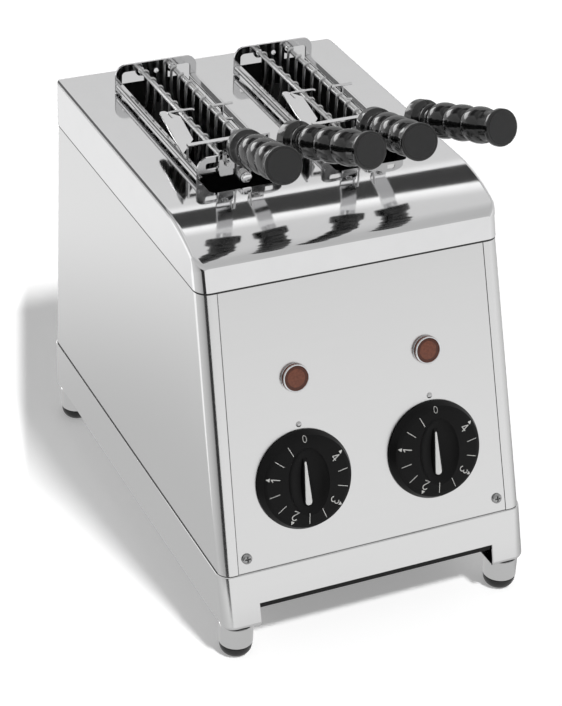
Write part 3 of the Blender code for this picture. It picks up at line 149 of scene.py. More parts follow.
def dome(radius, height, low, count, power=1.0):
    # a quarter of an ellipse from its foot to its top: radius (cos t)^power, low + height sin t
    t = turns(0, 90, count)
    return np.stack([radius * np.cos(t) ** power, low + height * np.sin(t)], -1).tolist()


def arc(centre, radius, start, end, steps=12):
    # points at even angles: centre + radius (cos a, sin a), in degrees
    a = turns(start, end, steps + 1)
    return np.stack([centre[0] + radius * np.cos(a), centre[1] + radius * np.sin(a)], -1)


def circle(centre, radius, steps=32):
    # the same all round, without the last point again
    return arc(centre, radius, 0, 360 - 360 / steps, steps - 1)


def rounded(low, high, radius, steps=8):
    # a rectangle whose corners are quarter circles
    (x0, y0), (x1, y1), r = low, high, radius
    middles = (x0 + r, y0 + r), (x1 - r, y0 + r), (x1 - r, y1 - r), (x0 + r, y1 - r)
    starts = 180, 270, 0, 90
    corners = [arc(middle, r, start, start + 90, steps) for middle, start in zip(middles, starts)]
    return np.concatenate(corners)


def capsule(low, lowRadius, high, highRadius, steps=16):
    # the hull of two circles on the second axis: its straight sides lean by asin((r1 - r2) / distance)
    lean = math.degrees(math.asin((lowRadius - highRadius) / (high - low)))
    lower = arc((0, low), lowRadius, 180 - lean, 360 + lean, steps)
    return np.concatenate([lower, arc((0, high), highRadius, lean, 180 - lean, steps)])


def bent(points, radius, steps=7):
    # a line through the points whose corners are quadratic curves that start and end one radius away
    points = np.asarray(points, float)
    share = np.linspace(0, 1, steps)[:, None]
    found = [points[:1]]
    for before, corner, after in zip(points, points[1:], points[2:]):
        arms = [p - corner for p in (before, after)]
        ends = [corner + arm * min(radius / np.linalg.norm(arm), 0.49) for arm in arms]
        found.append((1 - share) ** 2 * ends[0] + 2 * share * (1 - share) * corner + share ** 2 * ends[1])
    return np.concatenate(found + [points[-1:]])


def unit(vectors):
    # each row over its own length
    return vectors / np.linalg.norm(vectors, axis=-1, keepdims=True)


def tube(path, radius, count=12, across=(0, 0, 1)):
    # a circle carried along the path, set square to it; across is a direction the path never follows
    path = np.asarray(path, float)
    ahead = unit(np.gradient(path, axis=0))
    first = unit(np.cross(ahead, np.asarray(across, float)))
    second = np.cross(first, ahead)
    t = np.linspace(0, 2 * math.pi, count, endpoint=False)[None, :, None]
    radius = np.broadcast_to(np.asarray(radius, float), len(path))[:, None, None]
    return loft(path[:, None] + radius * (np.cos(t) * first[:, None] + np.sin(t) * second[:, None]))


def taperEnds(radius, count, edge=0.5):
    # radii along a rod whose two ends are smaller by the edge
    return np.concatenate([[radius - edge], np.full(count - 2, radius), [radius - edge]])


def together(*shapes):
    # several shapes in one list of points and faces
    points, faces, start = [], [], 0
    for some, made in shapes:
        points.append(some)
        faces += [[start + i for i in face] for face in made]
        start += len(some)
    return np.concatenate(points), faces


def moved(shape, by):
    # the same faces with every point moved
    return np.asarray(shape[0], float) + np.asarray(by, float), shape[1]


# Objects made from the shapes

def addMesh(name, shape):
    # a new object with the shape in metres, doubles merged and faces turned outwards
    mesh = bpy.data.meshes.new(name)
    mesh.from_pydata((np.asarray(shape[0], float) * mm).tolist(), [], shape[1])
    work = bmesh.new()
    work.from_mesh(mesh)
    bmesh.ops.remove_doubles(work, verts=work.verts, dist=1e-7)
    bmesh.ops.recalc_face_normals(work, faces=work.faces)
    work.to_mesh(mesh)
    work.free()
    piece = bpy.data.objects.new(name, mesh)
    bpy.context.scene.collection.objects.link(piece)
    return piece


def settle(piece):
    # the mesh as its modifiers leave it
    bpy.context.view_layer.update()
    graph = bpy.context.evaluated_depsgraph_get()
    mesh = bpy.data.meshes.new_from_object(piece.evaluated_get(graph))
    old = piece.data
    piece.modifiers.clear()
    piece.data = mesh
    bpy.data.meshes.remove(old)
    mesh.name = piece.name


def carve(piece, shape, operation="DIFFERENCE"):
    # a boolean with another closed shape or object, applied at once
    other = shape if isinstance(shape, bpy.types.Object) else addMesh("other", shape)
    step = piece.modifiers.new("carve", "BOOLEAN")
    step.operation = operation
    step.solver = "EXACT"
    step.object = other
    settle(piece)
    bpy.data.objects.remove(other, do_unlink=True)


def finish(piece, look, rides, replaces=(), edge=0.0, angle=35):
    # look, smooth shading, a fine rounding on sharp edges, and the body that the piece rides on
    mesh = piece.data
    mesh.materials.clear()
    mesh.materials.append(looks[look])
    mesh.shade_smooth()
    mesh.set_sharp_from_angle(angle=math.radians(angle))
    if edge:
        bevel = piece.modifiers.new("edge", "BEVEL")
        bevel.width = edge * mm
        bevel.segments = 2
        bevel.limit_method = "ANGLE"
        bevel.angle_limit = math.radians(angle)
    normals = piece.modifiers.new("normals", "WEIGHTED_NORMAL")
    normals.keep_sharp = True
    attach(piece, rides)
    if replaces:
        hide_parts(*replaces)


# Looks: a note for each material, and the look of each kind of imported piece

def lookNote(colour, other, rough, metal, grain, bump, shine=0.5):
    # two colours, roughness range, metal or not, grain per metre along x, y and z, bump, and specular level
    return {"colour": colour, "other": other, "rough": rough, "metal": metal, "grain": grain, "bump": bump,
            "shine": shine}


def grey(level):
    # three equal parts
    return (level, level, level)


lookNotes = {
    "brushedSheet": lookNote(grey(0.785), grey(0.765), (0.13, 0.19), 1, (20, 20, 2500), 0.005),
    "brushedFront": lookNote(grey(0.80), grey(0.78), (0.20, 0.26), 1, (20, 2500, 2500), 0.005),
    "mirrorSheet": lookNote((0.86, 0.86, 0.865), (0.82, 0.82, 0.825), (0.05, 0.10), 1, grey(60), 0.004),
    "brightWire": lookNote(grey(0.76), grey(0.66), (0.28, 0.40), 1, grey(300), 0.02),
    "dullSteel": lookNote(grey(0.50), grey(0.38), (0.18, 0.28), 1, grey(500), 0.03),
    "wellSheet": lookNote(grey(0.045), grey(0.02), (0.5, 0.7), 0.6, grey(90), 0.05),
    "glossBlack": lookNote(grey(0.003), grey(0.005), (0.08, 0.14), 0, grey(400), 0.01, 0.66),
    "capBlack": lookNote((0.026, 0.026, 0.0265), grey(0.030), (0.5, 0.6), 0, grey(900), 0.03, 0.25),
    "dialBlack": lookNote((0.0040, 0.0040, 0.0042), grey(0.006), (0.36, 0.46), 0, grey(1500), 0.05, 0.14),
    "printPaint": lookNote((0.47, 0.47, 0.46), (0.54, 0.54, 0.52), (0.5, 0.6), 0, grey(1200), 0.02),
    "paleInlay": lookNote((0.56, 0.56, 0.555), (0.62, 0.62, 0.61), (0.34, 0.44), 0, grey(500), 0.02),
    "rubberBlack": lookNote(grey(0.010), grey(0.018), (0.28, 0.42), 0, grey(700), 0.06),
    "amberGlass": lookNote((0.060, 0.014, 0.006), (0.19, 0.055, 0.026), (0.14, 0.22), 0, grey(620), 0.5, 0.5),
    # painted shade: a darker amber for the shadowed outer edge of the lamp's cap
    "amberPaintedShade": lookNote((0.040, 0.011, 0.006), (0.085, 0.026, 0.014), (0.2, 0.3), 0, grey(620), 0.3, 0.4),
    "enamelBlack": lookNote(grey(0.012), grey(0.02), (0.4, 0.55), 0, grey(250), 0.04, 0.1),
    "creamCeramic": lookNote((0.62, 0.57, 0.47), (0.55, 0.50, 0.41), (0.35, 0.5), 0, grey(300), 0.04),
}
nodeLooks = {
    "brushed_steel": "brushedSheet", "polished_steel": "mirrorSheet", "wire_steel": "brightWire",
    "inner_steel": "wellSheet", "black_plastic": "dialBlack", "black_handle": "glossBlack",
    "black_rubber": "rubberBlack", "pale_inlay": "paleInlay", "amber_lens": "amberGlass",
    "dark_enamel": "enamelBlack", "cream_ceramic": "creamCeramic",
}


def addNode(tree, kind, values=None, **settings):
    # a shader node with its settings, then the plain values of its sockets
    made = tree.nodes.new("ShaderNode" + kind)
    for name, value in settings.items():
        setattr(made, name, value)
    for name, value in (values or {}).items():
        made.inputs[name].default_value = value
    return made


def newTree(name):
    # a material with nodes, and its tree
    made = bpy.data.materials.new(name)
    made.use_nodes = True
    return made, made.node_tree


def makeLook(name, note):
    # noise on Object coordinates, stretched along the grain, mixes two colours and moves roughness and bump
    made, tree = newTree(name)
    shader = tree.nodes["Principled BSDF"]
    shader.inputs["Metallic"].default_value = note["metal"]
    shader.inputs["Specular IOR Level"].default_value = note["shine"]
    where = addNode(tree, "TexCoord")
    stretch = addNode(tree, "Mapping", {"Scale": note["grain"]})
    noise = addNode(tree, "TexNoise", {"Scale": 1, "Detail": 4, "Roughness": 0.6})
    colour = addNode(tree, "Mix", {"A": (*note["colour"], 1), "B": (*note["other"], 1)}, data_type="RGBA")
    rough = addNode(tree, "MapRange", {"To Min": note["rough"][0], "To Max": note["rough"][1]})
    bump = addNode(tree, "Bump", {"Strength": note["bump"], "Distance": 0.0002})
    link = tree.links.new
    link(where.outputs["Object"], stretch.inputs["Vector"])
    link(stretch.outputs["Vector"], noise.inputs["Vector"])
    link(noise.outputs["Fac"], colour.inputs["Factor"])
    link(noise.outputs["Fac"], rough.inputs["Value"])
    link(noise.outputs["Fac"], bump.inputs["Height"])
    link(colour.outputs["Result"], shader.inputs["Base Color"])
    link(rough.outputs["Result"], shader.inputs["Roughness"])
    link(bump.outputs["Normal"], shader.inputs["Normal"])
    return made


looks = {name: makeLook(name, note) for name, note in lookNotes.items()}
slotOf = {node: m["slot"] for m in frame["record"]["materials"] for node in m.get("nodes", [])}
for name, item in nodes.items():
    item.data.materials.clear()
    item.data.materials.append(looks[nodeLooks.get(slotOf.get(name), "wellSheet")])
print("looks made:", len(looks))

# The hood with its two slots

hood = {
    "crownRadius": 116.5, "noseRadius": 16.8, "crownTurn": 25.0, "noseTurn": 62.0, "rearRound": 3.0,
    "crownSteps": 40, "noseSteps": 32, "edgeSteps": 8, "edge": 3.0, "bevel": 0.2,
    "slotSpacing": 92.0, "slotWidth": 54.0, "slotFront": -37.5, "slotLength": 179.0, "slotCorner": 4.0,
}
hoodRear = body["rear"] - body["skirtProud"] + body["hoodProud"]
hoodHalf = body["topHalf"] + body["hoodProud"]
slotRear = hood["slotFront"] + hood["slotLength"]


def hoodProfile(inset, bottom):
    # the side profile as rows of (y, z, normal y, normal z, edge radius): rear wall, rear arc, crown arc,
    # nose arc and leaning face; the edge radius grows from fine on the crown to the body's own on the face
    crownTurn, faceTurn = math.radians(hood["crownTurn"]), math.radians(hood["noseTurn"])
    big, small, r = hood["crownRadius"], hood["noseRadius"], hood["rearRound"]
    run = big * math.sin(crownTurn) + small * (math.sin(faceTurn) - math.sin(crownTurn))
    drop = big * (1 - math.cos(crownTurn)) + small * (math.cos(crownTurn) - math.cos(faceTurn))
    crownStart = bodyFront(body["top"] - drop) - body["hoodProud"] + run
    fine, broad = hood["edge"] - inset, body["corner"] - inset
    wall = [(hoodRear - inset, z, 1, 0, broad) for z in (bottom, body["top"] - 3 * r)]
    t = turns(0, 90, 9)
    rearArc = np.stack([hoodRear - r + (r - inset) * np.cos(t), body["top"] - r + (r - inset) * np.sin(t),
                        np.cos(t), np.sin(t), np.full_like(t, fine)], -1)
    t = np.linspace(0, crownTurn, hood["crownSteps"] + 1)
    crown = np.stack([crownStart - (big - inset) * np.sin(t), body["top"] - big + (big - inset) * np.cos(t),
                      -np.sin(t), np.cos(t), np.full_like(t, fine)], -1)
    share = np.linspace(0, 1, hood["noseSteps"] + 1)[1:]
    t = crownTurn + (faceTurn - crownTurn) * share
    centreY = crownStart - (big - small) * math.sin(crownTurn)
    centreZ = body["top"] - big + (big - small) * math.cos(crownTurn)
    nose = np.stack([centreY - (small - inset) * np.sin(t), centreZ + (small - inset) * np.cos(t),
                     -np.sin(t), np.cos(t), fine + (broad - fine) * share], -1)
    faceY, faceZ = nose[-1, :2]
    out = -1 / math.cos(body["lean"])
    face = [(faceY, faceZ, out, 0, broad), (faceY - (faceZ - bottom) * leanTan, bottom, out, 0, broad)]
    return np.concatenate([wall, rearArc, crown, nose, face])


def hoodShape(inset, bottom):
    # the profile swept across, each row with its own edge radius: the point at turn t falls by r (1 - cos t)
    # along the normal and sits r (1 - sin t) in from the side
    rows = hoodProfile(inset, bottom)
    turn = turns(90, 0, hood["edgeSteps"] + 1)
    sign = np.concatenate([-np.ones_like(turn), np.ones_like(turn)])[None]
    turn = np.concatenate([turn, turn[::-1]])[None]
    y, z, normalY, normalZ, radius = [rows[:, i:i + 1] for i in range(5)]
    x = sign * (hoodHalf - inset - radius + radius * np.sin(turn))
    fall = radius * (1 - np.cos(turn))
    points = np.stack([x, y - fall * normalY, z - fall * normalZ], -1)
    count, wide = points.shape[:2]
    last = (count - 1) * wide
    faces = gridFaces(count, wide, closeCols=False)
    faces += [[row * wide for row in range(count)], [row * wide + wide - 1 for row in range(count)]]
    faces.append(list(range(wide)) + list(range(last + wide - 1, last - 1, -1)))
    return points.reshape(-1, 3), faces


def hoodPlan(inset):
    # an upright rounded rectangle that gives the hood's rear corners the body's radius, seen from above
    half, rear, radius = hoodHalf - inset, hoodRear - inset, body["corner"] - inset
    outline = [(-half, body["front"] - 4 * over), (half, body["front"] - 4 * over)]
    for x, start in ((half - radius, 0), (radius - half, 90)):
        outline += arc((x, rear - radius), radius, start, start + 90, 16).tolist()
    return prism(outline, 2, body["seamLow"], body["top"] + 2 * over)


def buildHood():
    # the swept shape cut to the rounded plan, less the same thing one wall further in, less the two slots
    bottom = body["seamHigh"] + body["gap"]
    cover = addMesh("hoodCover", hoodShape(0, bottom))
    carve(cover, hoodPlan(0), "INTERSECT")
    hollow = addMesh("hollow", hoodShape(body["wall"], bottom - over))
    carve(hollow, hoodPlan(body["wall"]), "INTERSECT")
    carve(cover, hollow)
    for sign in sides.values():
        middle, half = sign * hood["slotSpacing"] / 2, hood["slotWidth"] / 2
        outline = rounded((middle - half, hood["slotFront"]), (middle + half, slotRear), hood["slotCorner"])
        carve(cover, prism(outline, 2, body["top"] - 2 * over, body["top"] + over))
    finish(cover, "mirrorSheet", "housing", ["hood"], hood["bevel"], 40)


buildHood()
print("hood made")

# Body, skirt, seams, panel and screws

shell = {"ledge": 13.1, "sill": 12.0, "edge": 0.35, "screwSpacing": 188.8, "screwUp": 10.4, "screwHole": 2.2,
         "glandOut": 70.0, "glandUp": 85.0, "glandHole": 6.0}
skirt = {"round": 4.0, "wall": 1.5, "flange": 1.5, "rearFlange": 22.0, "notchHalf": 88.2, "notchTop": 41.4,
         "edge": 0.4}
seam = {"high": 1.0, "proud": 0.2, "shy": 0.5, "deep": 1.0, "clear": 0.05}
panel = {"knobUp": 56.5, "studUp": 94.5, "lampUp": 127.0, "shaftHole": 3.6, "lampHole": 8.6, "edge": 0.45}
stud = {"radius": 2.0, "height": 1.1, "root": -0.8}
screw = {"radius": 3.6, "height": 1.8, "brim": 0.5, "power": 0.7, "shank": 1.9, "depth": 7.0, "cross": 4.2,
         "slot": 1.15, "slotLow": 0.7, "edge": 0.12}


def planRing(half, front, rear, radius, z):
    # a level rounded rectangle
    return np.insert(rounded((-half, front), (half, rear), radius, 12), 2, z, axis=1)


def bodyRing(z, sideWall, frontWall):
    # the body's outline at one height, moved in by its walls
    rear = body["rear"] - body["skirtProud"] - sideWall
    return planRing(bodyHalf(z) - sideWall, bodyFront(z) + frontWall, rear, body["corner"] - sideWall, z)


def skirtRing(z, inset):
    # the skirt's outline at one height, upright below its widest line
    front = max(skirtFront(z), body["front"]) + inset
    half = body["bottomHalf"] + body["skirtProud"] - inset
    return planRing(half, front, body["rear"] - inset, body["corner"] - inset, z)


def panelSlab(grow, low, high, inner, outer):
    # a slab on the sloping front as wide as the panel plus a margin, between two distances out of it
    lowHalf, highHalf = panelHalf(low) + grow, panelHalf(high) + grow
    outline = [(-lowHalf, low), (lowHalf, low), (highHalf, high), (-highHalf, high)]
    return onPanel(prism(outline, 2, inner, outer))


def panelHole(x, up, radius, steps=32):
    # a round cutter square to the panel
    return prism(circle((x, up), radius, steps), 2, -over, over)


def buildBody():
    # a tapering leaning box less its hollow, the seat of the panel, the opening behind it and the holes
    low, high = body["seamLow"] + body["gap"], body["seamHigh"] - body["gap"]
    seat, sill = -body["panelThick"] - body["gap"], shell["sill"]
    wrap = addMesh("bodyWrap", loft([bodyRing(low, 0, 0), bodyRing(high, 0, 0)]))
    carve(wrap, loft([bodyRing(z, body["wall"], body["frontWall"]) for z in (low - over, high + over)]))
    carve(wrap, panelSlab(body["gap"], -over, slopeLength + over, seat, over))
    carve(wrap, panelSlab(-shell["ledge"], sill, slopeLength - sill, -body["frontWall"] - over, over))
    for sign in sides.values():
        x = sign * shell["screwSpacing"] / 2
        carve(wrap, onPanel(panelHole(x, shell["screwUp"], shell["screwHole"], 20)))
    hole = circle((-shell["glandOut"], shell["glandUp"]), shell["glandHole"])
    carve(wrap, prism(hole, 1, body["rear"] - 2 * over, body["rear"] + 2 * over))
    finish(wrap, "brushedSheet", "housing", ["body_shell"], shell["edge"], 40)


def buildSkirt():
    # the lower edge is a quarter circle: inset r (1 - sin t), lowered by r cos t
    low, r = body["footTop"], skirt["round"]
    rings = [skirtRing(body["widest"] - r * math.cos(t), r * (1 - math.sin(t))) for t in turns(0, 90, 10)]
    piece = addMesh("baseSkirt", loft(rings + [skirtRing(body["seamLow"], 0)]))
    levels = low + skirt["flange"], body["widest"] + skirt["wall"], body["seamLow"] + over
    carve(piece, loft([skirtRing(z, skirt["wall"]) for z in levels]))
    carve(piece, block((-skirt["notchHalf"], body["front"] - over, low - over),
                       (skirt["notchHalf"], body["rear"] - skirt["rearFlange"], skirt["notchTop"])))
    finish(piece, "brushedSheet", "housing", ["base_skirt"], skirt["edge"], 40)


def buildSeams():
    # painted shade: a thin dark strip in each seam, where the gap's shadow falls, as a ring that follows the
    # body's outline, a little proud of it
    deep, proud, clear = seam["deep"], -seam["proud"], seam["clear"]
    lowSeam, highSeam = body["seamLow"], body["seamHigh"]
    spans = {"low": (lowSeam + clear, lowSeam + seam["high"], seam["shy"]),
             "high": (highSeam - seam["high"], highSeam + body["gap"] - clear, proud)}
    for name, (low, high, front) in spans.items():
        stations = (low, deep, deep), (low, proud, front), (high, proud, front), (high, deep, deep)
        strip = addMesh("seamShadeStrip_" + name, loft([bodyRing(*station) for station in stations], ringed=True))
        # the rubber-black look here paints the shade in the seam's gap
        finish(strip, "rubberBlack", "housing")


def buildPanel():
    # a slab with its holes, and two domed studs that mark where the dials are read
    slab = panelSlab(0, body["gap"], slopeLength - body["gap"], -body["panelThick"], 0)
    plate = addMesh("controlPanel", slab)
    holes = []
    for sign in sides.values():
        x = sign * body["controlSpacing"] / 2
        holes += [panelHole(x, panel["knobUp"], panel["shaftHole"]),
                  panelHole(x, panel["lampUp"], panel["lampHole"]),
                  panelHole(sign * shell["screwSpacing"] / 2, shell["screwUp"], shell["screwHole"])]
    carve(plate, onPanel(together(*holes)))
    finish(plate, "brushedFront", "housing", ["front_panel"], panel["edge"], 40)
    profile = [(0, stud["root"]), (stud["radius"], stud["root"])] + dome(stud["radius"], stud["height"], 0, 9)
    for side, sign in sides.items():
        pin = moved(turned(profile, 32), (sign * body["controlSpacing"] / 2, panel["studUp"], 0))
        finish(addMesh("indexStud_" + side, onPanel(pin)), "brightWire", "housing")


def buildScrews():
    # pan heads, flattened domes with a cross recess
    low, shank, brim = body["gap"], screw["shank"], screw["brim"]
    profile = [(0, -screw["depth"]), (shank, -screw["depth"]), (shank, low), (screw["radius"], low)]
    profile += dome(screw["radius"], screw["height"] - brim, low + brim, 10, screw["power"])
    long, short = screw["cross"] / 2, screw["slot"] / 2
    for side, sign in sides.items():
        place = (sign * shell["screwSpacing"] / 2, shell["screwUp"], 0)
        piece = addMesh("panScrew_" + side, onPanel(moved(turned(profile, 40), place)))
        for x, y in ((long, short), (short, long)):
            bar = block((-x, -y, screw["slotLow"]), (x, y, over))
            carve(piece, onPanel(moved(bar, place)))
        finish(piece, "dullSteel", "housing", ["panel_screw_" + side], screw["edge"])


buildBody()
buildSkirt()
buildSeams()
buildPanel()
buildScrews()
print("body, skirt, panel and screws made")

# Timer knobs and their printed marks

dial = {
    "radius": 34.3, "rimLow": 0.5, "rimHigh": 1.8, "rimEdge": 0.3, "faceRadius": 31.8, "faceLow": 6.8,
    "flat": 30.0, "crown": 9.7, "bow": 0.002, "hollow": (15.5, 25.0, 8.5), "floor": 3.0, "shaft": 3.0,
    "shaftIn": -14.5, "edge": 0.35,
}
ridge = {  # flare rows: share of the height, then width, lower reach and upper reach there
    "low": -14.9, "lowRadius": 3.2, "high": 13.7, "highRadius": 1.4, "root": 0.9, "top": 5.8,
    "flare": ((0, 1.65, 1.06, 1.57), (0.15, 1.55, 1.055, 1.50), (0.32, 1.45, 1.05, 1.42),
              (0.55, 1.30, 1.03, 1.25), (0.76, 1.17, 1.01, 1.09), (0.93, 1.04, 1.0, 1.01),
              (1, 0.95, 0.99, 0.99)),
}
inlay = {"low": -14.7, "lowRadius": 2.35, "high": 12.9, "highRadius": 0.65, "clear": 0.1, "pocket": 0.7,
         "seat": 0.05, "proud": 0.2, "edge": 0.15}
marks = {  # figures: distance out, height, line
    "count": 13, "step": 25.2, "tick": (21.8, 29.2), "tickLine": 0.42, "figure": (24.3, 6.2, 0.60),
    "zero": (29.7, 4.3, 0.30), "arrow": (29.6, -1.1, 1.3), "arrowWide": (2.6, 0.3), "proud": 0.05,
    "deep": 0.35,
}
zeroTurn = np.linspace(0, 2 * math.pi, 33)
strokes = {  # one unit tall, centred
    "0": [np.stack([0.30 * np.cos(zeroTurn), 0.5 * np.sin(zeroTurn)], -1)],
    "1": [bent([(-0.20, 0.27), (0.06, 0.5), (0.06, -0.5)], 0.03)],
    "2": [np.concatenate([arc((0, 0.22), 0.28, 165, -35, 14), [(-0.28, -0.5), (0.32, -0.5)]])],
    "3": [arc((0, 0.25), 0.25, 150, -85, 12), arc((0, -0.24), 0.28, 88, -150, 14)],
    "4": [bent([(0.12, -0.5), (0.12, 0.5), (-0.30, -0.20), (0.34, -0.20)], 0.02)],
}


def faceHeight(r):
    # the bowed face, then a straight fall over the rounded shoulder
    flat = dial["flat"]
    shoulder = dial["crown"] - dial["bow"] * flat ** 2
    fall = (shoulder - dial["faceLow"]) / (dial["faceRadius"] - flat)
    return np.where(r < flat, dial["crown"] - dial["bow"] * r ** 2, shoulder - fall * (r - flat))


def ribbon(path, width):
    # a thin printed line along a path on the dial's face, a little proud of it; the width may vary along it
    ahead = unit(np.gradient(path, axis=0))
    out = np.stack([-ahead[:, 1], ahead[:, 0]], -1) * np.reshape(width, (-1, 1)) / 2
    rails = path + out, path - out
    heights = [faceHeight(np.linalg.norm(rail, axis=1)) + marks["proud"] for rail in rails]
    tops = [np.column_stack([rail, height]) for rail, height in zip(rails, heights)]
    lows = [top - (0, 0, marks["deep"]) for top in tops]
    return loft(np.stack([tops[0], tops[1], lows[1], lows[0]], 1))


def turnedFlat(path, angle, radius=0.0, size=1.0):
    # a figure scaled, moved out to a radius and turned so that its top points outwards at the angle
    path = np.asarray(path, float) * size + (0, radius)
    a = math.radians(angle - 90)
    return path @ np.array([[math.cos(a), math.sin(a)], [-math.sin(a), math.cos(a)]])


def dialMarks():
    # thirteen places at even turns: at every third a figure, with an arrow head outside it but for the zero
    made = []
    for k in range(marks["count"]):
        angle = 90 + marks["step"] * k
        if k % 3:
            inner, outer = marks["tick"]
            tick = np.linspace((0, inner), (0, outer), 8)
            made.append(ribbon(turnedFlat(tick, angle), marks["tickLine"]))
            continue
        radius, size, line = marks["figure"] if k else marks["zero"]
        made += [ribbon(turnedFlat(stroke, angle, radius, size), line) for stroke in strokes[str(k // 3)]]
        if k:
            radius, start, end = marks["arrow"]
            head = turnedFlat(np.linspace((0, start), (0, end), 6), angle, radius)
            made.append(ribbon(head, np.linspace(*marks["arrowWide"], 6)))
    return made


def dialBody():
    # the turned profile from the shaft over the rim to the bowed face
    r = np.linspace(dial["flat"], 0, 24)
    shaft, inner = dial["shaft"], dial["shaftIn"]
    radius, low, edge = dial["radius"], dial["rimLow"], dial["rimEdge"]
    profile = [(0, inner), (shaft, inner), (shaft, low), (radius - edge, low), (radius, low + edge),
               (radius, dial["rimHigh"]), (dial["faceRadius"], dial["faceLow"])]
    return turned(profile + np.stack([r, faceHeight(r)], -1).tolist(), 128)


def dialHollow():
    # a ball stretched by the three sizes of the hollow, its lowest point on the floor
    x, y, z = dial["hollow"]
    t = turns(-90, 90, 33)
    points, faces = turned(np.stack([np.cos(t), np.sin(t)], -1), 64)
    return points * (x, y, z) + (0, 0, dial["floor"] + z), faces


def dialRidge():
    # capsules stacked up the ridge, each scaled by its row of the flare
    root = dial["floor"] - ridge["root"]
    rings = []
    for rise, wide, down, up in ridge["flare"]:
        low, high = ridge["low"] * down, ridge["high"] * up
        ring = capsule(low, ridge["lowRadius"] * wide, high, ridge["highRadius"] * wide)
        rings.append(np.insert(ring, 2, root + rise * (ridge["top"] - root), axis=1))
    return loft(rings)


def inlayPrism(grow, low, high):
    # the pointer's tapering capsule, grown all round, between two heights
    outline = capsule(inlay["low"], inlay["lowRadius"] + grow, inlay["high"], inlay["highRadius"] + grow)
    return prism(outline, 2, low, high)


def buildKnobs():
    # the dial less its hollow, plus the ridge across it, less the pocket that holds the pale inlay
    floor = ridge["top"] - inlay["pocket"]
    for side, sign in sides.items():
        place = (sign * body["controlSpacing"] / 2, panel["knobUp"], 0)
        rides = "knob_" + side
        knob = addMesh("knobDial_" + side, onPanel(moved(dialBody(), place)))
        carve(knob, onPanel(moved(dialHollow(), place)))
        carve(knob, onPanel(moved(dialRidge(), place)), "UNION")
        carve(knob, onPanel(moved(inlayPrism(inlay["clear"], floor, 4 * over), place)))
        finish(knob, "dialBlack", rides, ["knob_" + side], dial["edge"], 30)
        pale = inlayPrism(0, floor + inlay["seat"], ridge["top"] + inlay["proud"])
        finish(addMesh("knobInlay_" + side, onPanel(moved(pale, place))), "paleInlay", rides,
               ["knob_pointer_" + side], inlay["edge"])
        printed = together(*[onPanel(moved(mark, place)) for mark in dialMarks()])
        finish(addMesh("dialMarks_" + side, printed), "printPaint", rides)


buildKnobs()

# Pilot lamps

lamp = {
    "flange": 9.75, "flangeTop": 0.8, "flangeLow": 0.3, "bore": 7.2, "barrel": 8.3, "deep": 14.0, "seat": 0.6,
    "capRadius": 9.3, "capTop": 3.4, "capDeep": 7.0, "capPlay": 0.3, "capClear": 0.1, "rim": 0.55, "dip": 0.5,
    "dome": 0.3, "groove": 0.25, "edgeIn": 6.3, "edgeProud": 0.05, "edgeDeep": 0.2,
}
lampDisc = lamp["capRadius"] - 1.5 * lamp["rim"] - lamp["groove"]


def lampRing():
    # the barrel and its flange with a half-round lip, and a round bead over the cap's rim
    flange, bore, barrel, rim = lamp["flange"], lamp["bore"], lamp["barrel"], lamp["rim"]
    half = (flange - lamp["capRadius"] - lamp["capClear"]) / 2
    profile = [(bore, -lamp["deep"]), (barrel, -lamp["deep"]), (barrel, lamp["flangeLow"]),
               (flange, lamp["flangeLow"])]
    profile += arc((flange - half, lamp["flangeTop"] - half), half, 0, 180, 13).tolist()
    profile += [(flange - 2 * half, lamp["seat"]), (bore, lamp["seat"])]
    bead = circle((lamp["capRadius"] - rim * 0.7, lamp["capTop"] - rim * 0.3), rim, 16)
    return together(turned(profile, 64, ringed=True), turned(bead, 64, ringed=True))


def lampFace(r):
    # the cap's disc lies below the rim and rises to its middle as a quarter of an ellipse
    return lamp["capTop"] - lamp["dip"] + lamp["dome"] * np.sqrt(1 - (r / lampDisc) ** 2)


def lampCap():
    # a stem in the barrel, the wall with its rounded rim, then the disc
    stem, seat, rim = lamp["bore"] - lamp["capPlay"], lamp["seat"] + lamp["capClear"], lamp["rim"]
    profile = [(0, -lamp["capDeep"]), (stem, -lamp["capDeep"]), (stem, seat), (lamp["capRadius"], seat)]
    profile += arc((lamp["capRadius"] - rim, lamp["capTop"] - rim), rim, 0, 90, 7).tolist()
    r = lampDisc * np.sin(turns(90, 0, 12))
    return turned(profile + np.stack([r, lampFace(r)], -1).tolist(), 64)


def lampShadeBand():
    # a band of painted shade, a darker amber, that lies on the outer part of the disc where the cap's edge is
    # shadowed
    r = np.linspace(lampDisc - 0.02, lamp["edgeIn"], 8)
    top = np.stack([r, lampFace(r) + lamp["edgeProud"]], -1)
    low = np.stack([r, lampFace(r) - lamp["edgeDeep"]], -1)
    return turned(np.concatenate([top, low[::-1]]), 64, ringed=True)


def buildLamps():
    # ring, cap and band of painted shade of either lamp, on the slope above the knobs
    for side, sign in sides.items():
        place = (sign * body["controlSpacing"] / 2, panel["lampUp"], 0)
        finish(addMesh("lampRing_" + side, onPanel(moved(lampRing(), place))), "mirrorSheet", "housing",
               ["lamp_bezel_" + side])
        finish(addMesh("lampLens_" + side, onPanel(moved(lampCap(), place))), "amberGlass", "housing",
               ["lamp_lens_" + side])
        finish(addMesh("lampShadeBand_" + side, onPanel(moved(lampShadeBand(), place))), "amberPaintedShade", "housing")


buildLamps()
print("knobs and lamps made")

# Feet, crumb tray and cable gland

